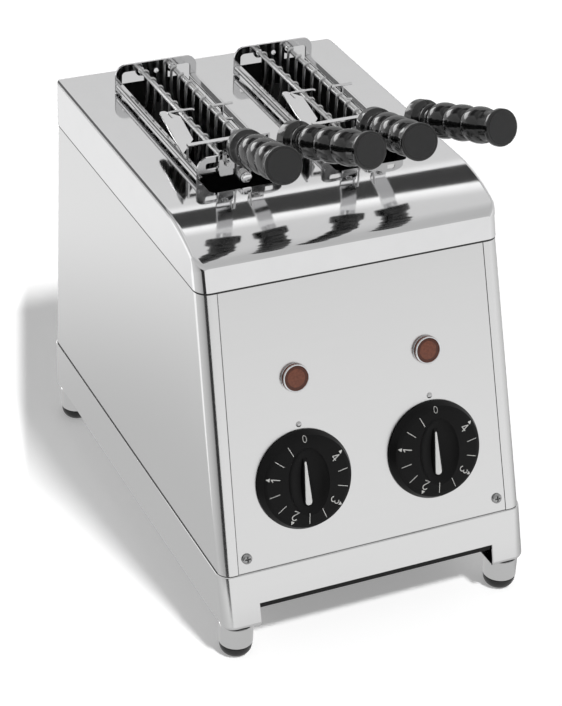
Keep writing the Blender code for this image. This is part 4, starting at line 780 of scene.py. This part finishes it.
foot = {  # the post's rows of (radius, height), and the pad's above its curved underside
    "halfSpacing": 101.5, "frontInset": 12.2, "rearInset": 15.5,
    "post": ((0, 14.8), (3.3, 14.8), (3.3, 8.8), (11.1, 8.8), (11.7, 9.4), (11.7, 24.4), (11.4, 24.7),
             (3.0, 24.7), (3.0, 32.7), (0, 32.7)),
    "pad": ((11.4, 8.5), (3.0, 8.5), (3.0, 14.5), (0, 14.5)), "padFlat": 6.0, "padCurve": 7.9,
}
tray = {"wall": 1.0, "front": 2.5, "edge": 0.25}
gland = (  # rows of (radius, distance out of the rear wall)
    (3.6, -8), (5.7, -8), (5.7, 0.3), (8.2, 0.3), (8.5, 0.7), (8.5, 2.9), (8.0, 3.6), (6.9, 4.35), (6.5, 4.8),
    (6.5, 8.3), (6.1, 8.7), (4.1, 8.7), (3.6, 8.2),
)


def alongY(shape, sign):
    # a shape turned about Z, laid down so that its top points along Y, or against Y for a sign of -1
    points, faces = shape
    return np.stack([points[:, 0], sign * points[:, 2], -sign * points[:, 1]], -1), faces


def buildFeet():
    # a turned post, bored from below, and a rubber pad whose underside curves up from its flat middle: radius
    # flat + (wide - flat) sin t, height h (1 - cos t)
    flat, wide, t = foot["padFlat"], foot["pad"][0][0], turns(0, 90, 14)
    curve = np.stack([flat + (wide - flat) * np.sin(t), foot["padCurve"] * (1 - np.cos(t))], -1)
    pad = [(0, 0), *curve.tolist(), *foot["pad"]]
    ends = {"front": body["front"] + foot["frontInset"], "rear": body["rear"] - foot["rearInset"]}
    for end, y in ends.items():
        for side, sign in sides.items():
            place = (sign * foot["halfSpacing"], y, 0)
            name = end + "_" + side
            post = addMesh("footPost_" + name, moved(turned(foot["post"], 64), place))
            finish(post, "brushedSheet", "housing", ["foot_" + name])
            below = addMesh("footPad_" + name, moved(turned(pad, 64), place))
            finish(below, "rubberBlack", "housing", ["foot_pad_" + name])


def buildTray():
    # the node's own box, hollowed from above, with a thicker wall at the front
    low, high = [np.array(corner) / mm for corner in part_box("crumb_tray")]
    wall = tray["wall"]
    piece = addMesh("crumbTray", block(low, high))
    carve(piece, block(low + (wall, tray["front"], wall), high + (-wall, -wall, over)))
    finish(piece, "enamelBlack", "crumb_tray", ["crumb_tray"], tray["edge"])


def buildGland():
    # its rows turned about the line that leaves the rear wall
    place = (-shell["glandOut"], body["rear"] - body["skirtProud"], shell["glandUp"])
    piece = addMesh("cableGland", moved(alongY(turned(gland, 48, ringed=True), 1), place))
    finish(piece, "rubberBlack", "housing", ["cable_gland"])


buildFeet()
buildTray()
buildGland()
print("feet, tray and gland made")

# Tongs: each is worked out from the middle of its slot at the height of the hood's top, and the parts of a
# jaw from its rod

tong = {
    "rodOut": 11.5, "rodUp": 15.0, "rodRadius": 2.0, "rodFront": -30.5, "rodRear": 132.0,
    "bracketFront": -22.5, "bracketRear": 128.5, "sheet": 1.5, "half": 31.0,
    "railOut": 28.9, "railUp": 5.3, "guideUp": 18.4, "guideBack": 72.5, "guideWire": 1.0, "boltUp": 4.5,
}
tongFace = tong["bracketFront"] - tong["sheet"] / 2
guideY = tong["bracketFront"] + tong["guideBack"]
bracket = {  # what both share, then the rear and the front outline, as (x, z)
    "foot": 0.3, "round": 8.0, "rodHole": 2.3, "railHole": 1.4, "edge": 0.3,
    "rearTip": (9.0, -12.0), "rearEye": 4.3, "rearFlat": 15.4, "leg": 4.8, "cove": 3.0, "coveUp": 12.4,
    "rearShoulder": 13.0, "rearHole": 1.7, "tongue": (26.0, -10.0), "frontShoulder": 11.0, "frontEye": 4.5,
    "saddle": ((6.0, 11.0), (3.0, 9.0)), "window": ((16.2, 10.0), (25.0, 14.8), 1.5, 5), "boltHole": 2.3,
}
rail = {"clear": 1.05, "lobes": (0, 1.9, 2.7, 1.1), "pin": 1.1, "pinReach": 3.2, "guide": (9.5, 15.0, 25.5),
        "legOut": 18.0, "legUp": 7.5, "legBend": 3.0, "edge": 0.2}
strap = {"back": 20.0, "half": 29.5, "halfWide": 2.0, "thick": 1.2, "up": 1.44, "legUp": 7.5, "legShy": 0.6,
         "wire": ((-23, 40.5), (-23, guideY), (-5, guideY)), "wireEnd": -3.5, "wireDip": 1.0, "wireBend": 3.0,
         "edge": 0.25}
blade = {"root": ((-37.0, -12.5), (-22.2, 5.5)), "right": (-20.0, 40.5), "left": (-25.5, 49.5), "round": 3.0,
         "half": 0.6, "bead": ((-36.4, -12.5), (-32.4, 18.0), (-27.9, 49.5)), "beadRadius": 0.9}
jaw = {
    "depth": 112.0, "wire": 1.0, "bar": 1.25, "count": 11, "first": -15.0, "pitch": 13.6, "hook": 6.5,
    "hookBend": 2.5, "bars": (60.0, 109.0), "barOut": 1.5, "barPast": 3.0, "loop": 2.5, "middle": 70.0,
    "tail": ((2.7, -4.0), (2.7, -14.0), (1.6, -22.0), (0, -28.0)), "straight": 31.0,
}
shank = {
    "out": 2.9, "low": -11.5, "bendUp": 7.0, "before": 6.0, "shy": 0.3, "bend": 5.0, "half": 5.5,
    "halfThick": 1.0, "rows": (0, 0.5, 1.4, 2.8, 4.2, 5.5), "twistFrom": 18.0, "twistLess": 24.0,
    "least": 0.02, "tang": (-6, 10, 30), "tangRadius": 2.5, "hole": 2.3, "edge": 0.35,
}
handle = {  # collar and cap: rows of (radius, distance along), the cap's measured back from the end
    "length": 92.0, "rise": math.radians(18.9), "spread": math.radians(8.2), "root": (5.2, -65.6, 30.7),
    "collar": ((11.05, 0), (11.85, 0.35), (12.25, 1.2), (12.25, 8.6), (11.85, 9.5), (10.95, 10.0),
               (9.5, 11.0), (9.0, 12.4), (9.0, 14.6), (9.7, 14.9), (10.0, 15.4), (10.0, 16.6), (9.7, 17.1),
               (9.0, 17.5)),
    "grooves": (9.0, 9.75, 9.75, 9.5), "bulge": 11.85, "power": 0.75, "firstBulge": 30.5, "pitch": 19.25,
    "firstStart": -0.98, "bore": 2.8, "boreDepth": 32.0,
    "cap": ((9.5, 4.8), (11.2, 4.1), (12.0, 3.4), (12.0, 1.0), (11.7, 0.3), (11.0, 0.0)), "dish": (0.6, 0.25),
    "disc": ((0.65, 0.5), (0.65, 0.1), (0.9, 0.0)),
}
spring = {"wire": 0.7, "coil": 3.4, "pitch": 1.9, "curls": 3.5, "steps": 110, "clear": 1.8,
          "tip": (6.4, 25.0), "tipOut": 12.0, "knee": (4.1, 11.0), "hip": 7.75, "bend": 2.0}
bolt = {"nut": ((0, -4.2), (3.2, -4.2), (3.6, -3.8), (3.6, -2.2), (3.2, -1.8)), "shank": 2.0, "seat": -1.8,
        "clear": 0.6, "head": 4.2, "brim": 0.8, "dome": 1.4, "power": 0.7}


def mirroredOutline(parts):
    # the right half's points in order, then the same points mirrored and in reverse
    half = np.concatenate(parts)
    return np.concatenate([half, half[::-1] * (-1, 1)])


def rearOutline():
    # a low tip, round the rod's eye, across to the leg, down its inner side, up its outer side and over the
    # shoulder
    eye, cove, low, half = bracket["rearEye"], bracket["cove"], bracket["foot"], tong["half"]
    inner, rod, r = half - bracket["leg"], tong["rodOut"], bracket["round"]
    return [[bracket["rearTip"]], arc((rod, tong["rodUp"]), eye, -125, 0, 14),
            [(rod + eye, bracket["rearFlat"])], arc((inner - cove, bracket["coveUp"]), cove, 90, 0, 8),
            [(inner, low), (half, low)], arc((half - r, bracket["rearShoulder"]), r, 0, 90, 14)]


def frontOutline():
    # a low tongue, out to the foot, over the shoulder and the rod's eye, and down to the saddle in the middle
    tongue, low, half, r = bracket["tongue"], bracket["foot"], tong["half"], bracket["round"]
    return [[tongue, (tongue[0], low), (half, low)], arc((half - r, bracket["frontShoulder"]), r, 0, 90, 14),
            arc((tong["rodOut"], tong["rodUp"]), bracket["frontEye"], 62, 200, 16), bracket["saddle"]]


def buildBrackets(side, centre):
    # sheets bored for the rods, the rails' pins and, in the middle, the spring's bolt at the front
    rearHole = bracket["rearHole"]
    middles = {"rear": (tong["rodUp"] - rearHole, rearHole), "front": (tong["boltUp"], bracket["boltHole"])}
    outlines = {"rear": rearOutline(), "front": frontOutline()}
    places = {"rear": tong["bracketRear"], "front": tong["bracketFront"]}
    for end, y in places.items():
        flats = []
        for sign in sides.values():
            flats.append(circle((sign * tong["rodOut"], tong["rodUp"]), bracket["rodHole"]))
            flats.append(circle((sign * tong["railOut"], tong["railUp"]), bracket["railHole"], 20))
            if end == "front":
                flats.append(rounded(*bracket["window"]) * (sign, 1))
        up, radius = middles[end]
        flats.append(circle((0, up), radius, 24))
        sheet = prism(mirroredOutline(outlines[end]), 1, y - tong["sheet"] / 2, y + tong["sheet"] / 2)
        piece = addMesh(end + "Bracket_" + side, moved(sheet, centre))
        carve(piece, together(*[moved(prism(flat, 1, y - over, y + over), centre) for flat in flats]))
        finish(piece, "mirrorSheet", "tong_" + side, [end + "_bracket_" + side],
               bracket["edge"], 30)


def buildRails(side, centre):
    # a tapering strip between the brackets on a thin pin; the right one carries a wire that guides the blade
    low, high = tong["bracketFront"] + rail["clear"], tong["bracketRear"] - rail["clear"]
    lobes, reach = capsule(*rail["lobes"]), rail["pinReach"]
    for hand, sign in sides.items():
        section = np.stack([sign * (tong["railOut"] - lobes[:, 1]), tong["railUp"] + lobes[:, 0]], -1)
        piece = addMesh("rail_%s_piece_%s" % (hand, side), moved(prism(section, 1, low, high), centre))
        pin = circle((sign * tong["railOut"], tong["railUp"]), rail["pin"], 20)
        added = [prism(pin, 1, low - reach, high + reach)]
        if hand == "right":
            up, wire = tong["guideUp"], tong["guideWire"]
            leg = [(rail["legOut"], guideY, up), (rail["legOut"], guideY, rail["legUp"]),
                   (tong["railOut"], guideY, tong["railUp"])]
            added.append(tube([(x, guideY, up) for x in rail["guide"]], wire, 12))
            added.append(tube(bent(leg, rail["legBend"]), wire, 12, (0, 1, 0)))
        for shape in added:
            carve(piece, moved(shape, centre), "UNION")
        finish(piece, "mirrorSheet", "tong_" + side, ["rail_%s_%s" % (hand, side)],
               rail["edge"])


def buildStrap(side, centre):
    # a cross strap on two legs, the flat blade with its beaded edge, and the left half of the wire guide
    y, up, half, thick = tong["bracketFront"] + strap["back"], tong["guideUp"], strap["half"], strap["thick"]
    low, top = strap["legUp"], up + strap["up"]
    near, far = y - strap["halfWide"], y + strap["halfWide"]
    piece = addMesh("strapBlade_" + side, moved(block((-half, near, top - thick), (half, far, top)), centre))
    added = []
    for sign in sides.values():
        inner, outer = sorted((sign * half, sign * (half - thick)))
        added.append(block((inner, near, low), (outer, far, top - strap["legShy"])))
    outline = np.concatenate([blade["root"], arc(blade["right"], blade["round"], 0, 60, 6),
                              arc(blade["left"], blade["round"], 60, 180, 10)])
    added.append(prism(outline, 2, up - blade["half"], up + blade["half"]))
    bead = [(*place, up) for place in blade["bead"]]
    added.append(tube(bead, taperEnds(blade["beadRadius"], 3), 16))
    wire = [(*place, up) for place in strap["wire"]] + [(strap["wireEnd"], guideY, up - strap["wireDip"])]
    added.append(tube(bent(wire, strap["wireBend"]), tong["guideWire"], 12, (0.1, 0.1, 1)))
    for shape in added:
        carve(piece, moved(shape, centre), "UNION")
    finish(piece, "mirrorSheet", "tong_" + side, ["strap_blade_" + side], strap["edge"])


def rodAxis(sign, centre):
    # the place of one jaw's rod, where its hinge is
    return np.asarray(centre) + (sign * tong["rodOut"], 0, tong["rodUp"])


def buildJaw(side, hand, sign, centre):
    # a rod, wires that turn once over it before they hang down, and two cross bars
    span = np.linspace(tong["rodFront"], tong["rodRear"], 6)
    shapes = [tube(np.stack([0 * span, span, 0 * span], -1), taperEnds(tong["rodRadius"], 6), 24)]
    outwards, low, start = (-sign, 1), -jaw["depth"], -jaw["straight"]
    hang = np.concatenate([arc((0, 0), jaw["loop"], 115, 0, 10) * outwards, np.array(jaw["tail"]) * outwards])
    ends = [np.array([(0, start), (0, -jaw["middle"]), (0, low)]),
            bent([(0, start), (0, low), (-sign * jaw["hook"], low)], jaw["hookBend"])]
    for index in range(jaw["count"]):
        flat = np.concatenate([hang, ends[index % 2]])
        y = jaw["first"] + index * jaw["pitch"]
        shapes.append(tube(np.insert(flat, 1, y, axis=1), jaw["wire"], 10, (0, 1, 0)))
    first, last = jaw["first"], jaw["first"] + (jaw["count"] - 1) * jaw["pitch"]
    span = np.linspace(first - jaw["barPast"], last + jaw["barPast"], 4)
    for depth in jaw["bars"]:
        path = np.stack([0 * span + sign * jaw["barOut"], span, 0 * span - depth], -1)
        shapes.append(tube(path, jaw["bar"], 12))
    name = "jaw_%s_%s" % (hand, side)
    piece = addMesh("grid_%s_%s" % (hand, side), moved(together(*shapes), rodAxis(sign, centre)))
    finish(piece, "brightWire", name, [name])


def handleFrame(sign):
    # unit vectors along the handle, level across it and square to both, from its rise and its spread
    level = math.cos(handle["rise"])
    along = np.array([sign * math.sin(handle["spread"]) * level, -math.cos(handle["spread"]) * level,
                      math.sin(handle["rise"])])
    across = np.array([math.cos(handle["spread"]), sign * math.sin(handle["spread"]), 0])
    return along, across, np.cross(along, across)


def shankPath(root, along, y):
    # close rows up the rounded lower end, then the bent line to the handle's root
    low = shank["low"]
    before, end = root - along * shank["before"], root - along * shank["shy"]
    upper = bent([(0, y, low), (0, y, shank["bendUp"]), before, end], shank["bend"], 9)
    return np.concatenate([[(0, y, low + row) for row in shank["rows"]], upper[1:]])


def buildShank(side, hand, sign, centre):
    # a strip: its middle line, the direction across it and its half width are arrays along one path. The
    # direction turns evenly from X to the handle's own; the half width follows a half circle at the lower end
    axis = rodAxis(sign, centre)
    along, across, _ = handleFrame(sign)
    root = np.array(handle["root"]) * (sign, 1, 1)
    y = tongFace - shank["out"]
    path = shankPath(root, along, y)
    length = np.concatenate([[0], np.cumsum(np.linalg.norm(np.diff(path, axis=0), axis=1))])
    twist = np.clip((length - shank["twistFrom"]) / (length[-1] - shank["twistLess"]), 0, 1)[:, None]
    wide = unit((1 - twist) * np.array([1.0, 0, 0]) + twist * across)
    thick = unit(np.cross(unit(np.gradient(path, axis=0)), wide)) * shank["halfThick"]
    fromEnd = np.clip(1 - length / shank["half"], 0, 1)
    wide = wide * shank["half"] * np.sqrt(np.clip(1 - fromEnd ** 2, shank["least"], 1))[:, None]
    left, right = path - wide, path + wide
    strip = loft(np.stack([left - thick, right - thick, right + thick, left + thick], 1))
    piece = addMesh("strip_%s_%s" % (hand, side), moved(strip, axis))
    tang = tube([root + along * run for run in shank["tang"]], shank["tangRadius"], 16, across)
    carve(piece, moved(tang, axis), "UNION")
    carve(piece, moved(prism(circle((0, 0), shank["hole"], 28), 1, y - over, y + over), axis))
    finish(piece, "mirrorSheet", "jaw_%s_%s" % (hand, side), ["shank_%s_%s" % (hand, side)],
           shank["edge"], 40)


def handleProfile():
    # the bore, the collar's rows, three bulges and the cap's rows; between two grooves the radius is
    # low + (high - low) cos(s pi / 2)^power, with s from -1 to 1
    rows = [(handle["bore"], handle["boreDepth"]), (handle["bore"], 0), *handle["collar"]]
    lows, power = handle["grooves"], handle["power"]
    for index in range(3):
        middle = handle["firstBulge"] + index * handle["pitch"]
        share = np.linspace(-1.0, 1, 17)[1:] if index else np.linspace(handle["firstStart"], 1, 17)
        low = np.where(share < 0, lows[index], lows[index + 1])
        radius = low + (handle["bulge"] - low) * np.cos(share * math.pi / 2) ** power
        rows += np.stack([radius, middle + share * handle["pitch"] / 2], -1).tolist()
    return rows + [(radius, handle["length"] - back) for radius, back in handle["cap"]]


def buildHandle(side, hand, sign, centre):
    # the profile turned and carried to the handle's frame: point = x across + y normal + z along + root
    along, across, normal = handleFrame(sign)
    root = rodAxis(sign, centre) + np.array(handle["root"]) * (sign, 1, 1)
    rides, name = "jaw_%s_%s" % (hand, side), "%s_%s" % (hand, side)
    profile = handleProfile()
    radius, end = profile[-1]
    shy, dip = handle["dish"]
    grip = [(0, handle["boreDepth"])] + profile + [(radius - shy, end - dip), (0, end - dip)]
    disc = [(radius - inset, end - back) for inset, back in handle["disc"]]
    disc = [(0, disc[0][1])] + disc + [(0, end)]
    for piece, rows, look, replaced, angle in (("grip_", grip, "glossBlack", ["handle_" + name], 50),
                                               ("capDisc_", disc, "capBlack", [], 35)):
        points, faces = turned(rows, 72)
        made = addMesh(piece + name, (points @ np.stack([across, normal, along]) + root, faces))
        finish(made, look, rides, replaced, angle=angle)


def buildSpring(side, centre):
    # x = r cos a, z = r sin a while y falls evenly, with a straight leg at each end, round a domed bolt
    coil, start, drop = spring["coil"], tongFace - spring["clear"], spring["pitch"] * spring["curls"]
    a = np.linspace(math.pi, math.pi + 2 * math.pi * spring["curls"], spring["steps"])
    fall = np.linspace(start, start - drop, spring["steps"])
    helix = np.stack([coil * np.cos(a), fall, tong["boltUp"] + coil * np.sin(a)], -1)
    (tipOut, tipUp), (kneeOut, kneeUp), hip = spring["tip"], spring["knee"], spring["hip"]
    tipY = tongFace - spring["tipOut"]
    first = bent([(-tipOut, tipY, tipUp), (-kneeOut, start, kneeUp), (-coil, start, hip)], spring["bend"])
    last = [(coil, fall[-1], hip), (tipOut, tipY, tipUp)]
    coiled = tube(np.concatenate([first, helix, last]), spring["wire"], 10, (0, 1, 0.02))
    finish(addMesh("springWire_" + side, moved(coiled, centre)), "brightWire", "tong_" + side,
           ["spring_" + side])
    low = spring["clear"] + drop + spring["wire"] + bolt["clear"]
    profile = [*bolt["nut"], (bolt["shank"], bolt["seat"]), (bolt["shank"], low), (bolt["head"], low)]
    profile += dome(bolt["head"], bolt["dome"], low + bolt["brim"], 10, bolt["power"])
    pin = moved(alongY(turned(profile, 40), -1), (0, tongFace, tong["boltUp"]))
    finish(addMesh("springBolt_piece_" + side, moved(pin, centre)), "mirrorSheet", "tong_" + side,
           ["spring_bolt_" + side])


for side, sideSign in sides.items():
    centre = np.array([sideSign * hood["slotSpacing"] / 2, 0, body["top"]])
    buildBrackets(side, centre)
    buildRails(side, centre)
    buildStrap(side, centre)
    buildSpring(side, centre)
    for hand, handSign in sides.items():
        buildJaw(side, hand, handSign, centre)
        buildShank(side, hand, handSign, centre)
        buildHandle(side, hand, handSign, centre)
print("tongs made")

# Heating elements, one on each side of each slot

heater = {"out": 30.0, "radius": 3.25, "play": 0.05, "low": 200.0, "pitch": 28.0, "margin": 5.5, "tail": 9.0,
          "clear": 8.0}


def buildHeaters():
    # three level runs joined by two half circles
    front, rear = hood["slotFront"] - heater["margin"], slotRear + heater["margin"]
    bend, low = heater["pitch"] / 2, heater["low"]
    inset = heater["clear"] + bend + heater["radius"]
    flat = np.concatenate([[(front - heater["tail"], low)],
                           arc((rear - inset, low + bend), bend, -90, 90, 16),
                           arc((front + inset, low + 3 * bend), bend, 270, 90, 16),
                           [(rear + heater["tail"], low + 4 * bend)]])
    for side, sideSign in sides.items():
        for wall, sign in sides.items():
            x = sideSign * hood["slotSpacing"] / 2 + sign * heater["out"]
            rod = tube(np.insert(flat, 0, x, axis=1), heater["radius"] - heater["play"], 20, (1, 0, 0))
            finish(addMesh("element_%s_%s" % (side, wall), rod), "enamelBlack", "housing",
                   ["heater_%s_%s" % (side, wall)])


buildHeaters()
print("heating elements made")

# Floor, flags, room, sun and camera

stageNotes = {
    "floorHalf": 12000.0, "floorColour": (0.80, 0.80, 0.80), "floorRough": 0.9,
    "fadeAcross": (-0.947, 0.32, 0.0), "fadeReach": (0.181, 0.196), "fadeGlow": (0.30, 0.95),
    "mirrorReach": (0.18, 0.55), "mirrorLevel": (0.59, 0.92), "rightCorner": (0.113, -0.16, 0.0),
    "beforeReach": (0.15, -0.25), "asideMiddle": 0.37, "asideReach": (0.16, 0.34), "plainLevel": 0.2,
    "sunStrength": 2.7, "sunAngle": 7.0, "sunTravel": (-0.045, 0.17, -0.28), "sunPlace": (0.3, -1.2, 2.0),
    "cameraPlace": (-0.5967, -1.2428, 0.9701), "cameraTurn": (58.3145, -2.0795, -24.4032), "lens": 114.66,
    "sensorWidth": 36,
}
# Brightness of the room by height of the direction (0 level, 1 straight up), behind and before the toaster.
# Behind, but further to the side than the camera's own azimuth, the dark zone is only grey.
roomBehind = ((0.0, 0.62), (0.38, 0.66), (0.50, 0.74), (0.57, 0.98), (0.595, 0.98), (0.605, 0.055),
              (0.782, 0.05), (0.792, 1.2), (0.812, 1.1), (0.85, 0.70), (1.0, 0.64))
roomAside = ((0.0, 0.62), (0.38, 0.66), (0.50, 0.74), (0.57, 0.90), (0.62, 0.46), (0.77, 0.44), (0.82, 0.80),
             (1.0, 0.64))
roomBefore = ((0.0, 0.88), (0.06, 0.86), (0.12, 0.60), (0.60, 0.52), (0.80, 0.54), (0.95, 0.66), (1.0, 0.64))
# How much of the floor's glow is left round the front right corner: the turn runs from the left (0) over the
# front (0.25), the right (0.5) and behind (0.75) to the left again (1)
rightShade = ((0.0, 1.0), (0.36, 1.0), (0.50, 0.78), (0.61, 0.62), (0.672, 0.34), (0.72, 0.56), (0.81, 1.0),
              (1.0, 1.0))
panes = {  # in the room behind: a bright window for the grips, a dark curtain for the edges that face left
    "window": {"left": -0.60, "right": 0.02, "low": 0.0, "high": 0.25, "near": 0.87, "level": 4.0},
    "curtain": {"left": -0.46, "right": 0.14, "low": 0.37, "high": 0.60, "near": 0.30, "level": 0.14},
}
cards = {  # upright flags that only reflections see: foot ends and height in metres, grey at either end
    "brightFlag": {"ends": ((-0.25, 0.11), (-0.25, -0.04)), "height": 0.32, "levels": (1.15, 1.15)},
    "greyFlag": {"ends": ((-0.25, -0.04), (-0.38, -0.45)), "height": 0.32, "levels": (0.72, 0.30)},
    "darkFlag": {"ends": ((-0.38, -0.45), (-0.20, -0.45)), "height": 0.32, "levels": (0.03, 0.03)},
}


def greyRamp(tree, stops, value):
    # greys between the stops of a colour ramp that the value runs along
    made = addNode(tree, "ValToRGB")
    elements = made.color_ramp.elements
    while len(elements) < len(stops):
        elements.new(0.5)
    for element, (at, level) in zip(elements, stops):
        element.position = at
        element.color = (*grey(level), 1)
    tree.links.new(value, made.inputs[0])
    return made.outputs["Color"]


def smoothStep(tree, value, reach, levels=(0.0, 1.0)):
    # the value carried from its reach to the levels along a smooth step
    ends = dict(zip(("From Min", "From Max", "To Min", "To Max"), reach + levels))
    made = addNode(tree, "MapRange", ends, interpolation_type="SMOOTHSTEP")
    tree.links.new(value, made.inputs["Value"])
    return made.outputs["Result"]


def maths(tree, operation, *values):
    # a sum on plain numbers or on the sockets that they come from
    made = addNode(tree, "Math", operation=operation)
    for socket, value in zip(made.inputs, values):
        if isinstance(value, (int, float)):
            socket.default_value = value
        else:
            tree.links.new(value, socket)
    return made.outputs[0]


def vectorMaths(tree, operation, vector, other=(0, 0, 0)):
    # the same on a vector's socket and a plain vector, as a node whose outputs are Vector and Value
    made = addNode(tree, "VectorMath", {1: other}, operation=operation)
    tree.links.new(vector, made.inputs[0])
    return made


def blend(tree, factor, first, second):
    # first where the factor is 0 and second where it is 1; a plain number stands for a grey
    made = addNode(tree, "Mix", data_type="RGBA")
    tree.links.new(factor, made.inputs["Factor"])
    for name, value in (("A", first), ("B", second)):
        if isinstance(value, (int, float)):
            made.inputs[name].default_value = (*grey(value), 1)
        else:
            tree.links.new(value, made.inputs[name])
    return made.outputs["Result"]


def addFloor():
    # the camera sees a lit floor with a glow that hides the shadow's far end, by the dot product with
    # fadeAcross; reflections see a glow alone, that grows with the distance from the middle and is shaded by
    # turn round the front right corner
    half = stageNotes["floorHalf"]
    corners = [(-half, -half, 0), (half, -half, 0), (half, half, 0), (-half, half, 0)]
    floor = addMesh("floor", (corners, [[0, 1, 2, 3]]))
    made, tree = newTree("paleFloor")
    shader = tree.nodes["Principled BSDF"]
    shader.inputs["Base Color"].default_value = (*stageNotes["floorColour"], 1)
    shader.inputs["Roughness"].default_value = stageNotes["floorRough"]
    shader.inputs["Specular IOR Level"].default_value = 0
    shader.inputs["Emission Color"].default_value = (1, 1, 1, 1)
    link = tree.links.new
    rays = addNode(tree, "LightPath")
    place = addNode(tree, "TexCoord").outputs["Object"]
    across = vectorMaths(tree, "DOT_PRODUCT", place, stageNotes["fadeAcross"]).outputs["Value"]
    faded = smoothStep(tree, across, stageNotes["fadeReach"], stageNotes["fadeGlow"])
    link(maths(tree, "MULTIPLY", faded, rays.outputs["Is Camera Ray"]), shader.inputs["Emission Strength"])
    away = vectorMaths(tree, "LENGTH", place).outputs["Value"]
    risen = smoothStep(tree, away, stageNotes["mirrorReach"], stageNotes["mirrorLevel"])
    mirrored = addNode(tree, "Emission")
    link(risen, mirrored.inputs["Strength"])
    split = addNode(tree, "SeparateXYZ")
    link(vectorMaths(tree, "SUBTRACT", place, stageNotes["rightCorner"]).outputs["Vector"], split.inputs[0])
    share = addNode(tree, "MapRange", {"From Min": -math.pi, "From Max": math.pi})
    link(maths(tree, "ARCTAN2", split.outputs["Y"], split.outputs["X"]), share.inputs["Value"])
    link(greyRamp(tree, rightShade, share.outputs["Result"]), mirrored.inputs["Color"])
    either = addNode(tree, "MixShader")
    link(rays.outputs["Is Glossy Ray"], either.inputs[0])
    link(shader.outputs[0], either.inputs[1])
    link(mirrored.outputs[0], either.inputs[2])
    link(either.outputs[0], tree.nodes["Material Output"].inputs["Surface"])
    floor.data.materials.append(made)


def addCards():
    # a grey that runs from one end of the card to the other, by its own UV: (p - start) . run / (run . run)
    for name, note in cards.items():
        start, end = np.array(note["ends"])
        run, top = end - start, note["height"] / mm
        corners = [(*(foot / mm), level) for foot, level in ((start, 1), (end, 1), (end, top), (start, top))]
        card = addMesh(name, (corners, [[0, 1, 2, 3]]))
        across = card.data.uv_layers.new(name="across")
        points = np.array([card.data.vertices[loop.vertex_index].co for loop in card.data.loops])
        share = (points[:, :2] - start) @ run / (run @ run)
        across.data.foreach_set("uv", np.stack([share, share], -1).ravel())
        made, tree = newTree(name)
        tree.nodes.remove(tree.nodes["Principled BSDF"])
        where = addNode(tree, "UVMap", uv_map="across")
        split = addNode(tree, "SeparateXYZ")
        ramp = addNode(tree, "MapRange", {"To Min": note["levels"][0], "To Max": note["levels"][1]})
        glow = addNode(tree, "Emission")
        tree.links.new(where.outputs["UV"], split.inputs[0])
        tree.links.new(split.outputs["X"], ramp.inputs["Value"])
        tree.links.new(ramp.outputs["Result"], glow.inputs["Strength"])
        tree.links.new(glow.outputs[0], tree.nodes["Material Output"].inputs["Surface"])
        card.data.materials.append(made)
        card.visible_camera = card.visible_diffuse = card.visible_shadow = card.visible_transmission = False


def addWorld():
    # only glossy rays see the room. By height it has one ramp before the toaster and two behind it, joined by
    # smooth steps of y and of |x - asideMiddle|; a window and a curtain are set into the part behind
    world = bpy.data.worlds.new("studio")
    bpy.context.scene.world = world
    world.use_nodes = True
    tree = world.node_tree
    link = tree.links.new
    split = addNode(tree, "SeparateXYZ")
    link(addNode(tree, "TexCoord").outputs["Generated"], split.inputs[0])
    x, y, z = [split.outputs[axis] for axis in "XYZ"]
    ahead = smoothStep(tree, y, stageNotes["beforeReach"])
    offset = maths(tree, "ABSOLUTE", maths(tree, "SUBTRACT", x, stageNotes["asideMiddle"]))
    aside = smoothStep(tree, offset, stageNotes["asideReach"])
    behind = blend(tree, aside, greyRamp(tree, roomBehind, z), greyRamp(tree, roomAside, z))
    room = blend(tree, ahead, behind, greyRamp(tree, roomBefore, z))
    for pane in panes.values():
        limits = [maths(tree, "GREATER_THAN", x, pane["left"]), maths(tree, "LESS_THAN", x, pane["right"]),
                  maths(tree, "GREATER_THAN", z, pane["low"]), maths(tree, "LESS_THAN", z, pane["high"])]
        inside = maths(tree, "GREATER_THAN", y, pane["near"])
        for limit in limits:
            inside = maths(tree, "MULTIPLY", inside, limit)
        room = blend(tree, inside, room, pane["level"])
    rays = addNode(tree, "LightPath")
    plain = blend(tree, rays.outputs["Is Camera Ray"], stageNotes["plainLevel"], 1.0)
    link(blend(tree, rays.outputs["Is Glossy Ray"], plain, room), tree.nodes["Background"].inputs["Color"])


def placed(name, data, place, turn):
    # an object that holds a light or a camera, with its place in metres and its turn
    holder = bpy.data.objects.new(name, data)
    bpy.context.scene.collection.objects.link(holder)
    holder.location = place
    holder.rotation_euler = turn
    return holder


def addLights():
    # one soft sun along its travel, which reflections don't see
    sun = bpy.data.lights.new("sun", "SUN")
    sun.energy = stageNotes["sunStrength"]
    sun.angle = math.radians(stageNotes["sunAngle"])
    turn = Vector(stageNotes["sunTravel"]).to_track_quat("-Z", "Y").to_euler()
    placed("sun", sun, stageNotes["sunPlace"], turn).visible_glossy = False


def addCamera():
    # the view that was fitted to the photo
    view = bpy.data.cameras.new("camera")
    view.lens = stageNotes["lens"]
    view.sensor_width = stageNotes["sensorWidth"]
    turn = [math.radians(a) for a in stageNotes["cameraTurn"]]
    bpy.context.scene.camera = placed("camera", view, stageNotes["cameraPlace"], turn)


addFloor()
addCards()
addWorld()
addLights()
addCamera()
bpy.context.scene.view_settings.view_transform = "Standard"
print("floor, light and camera set")
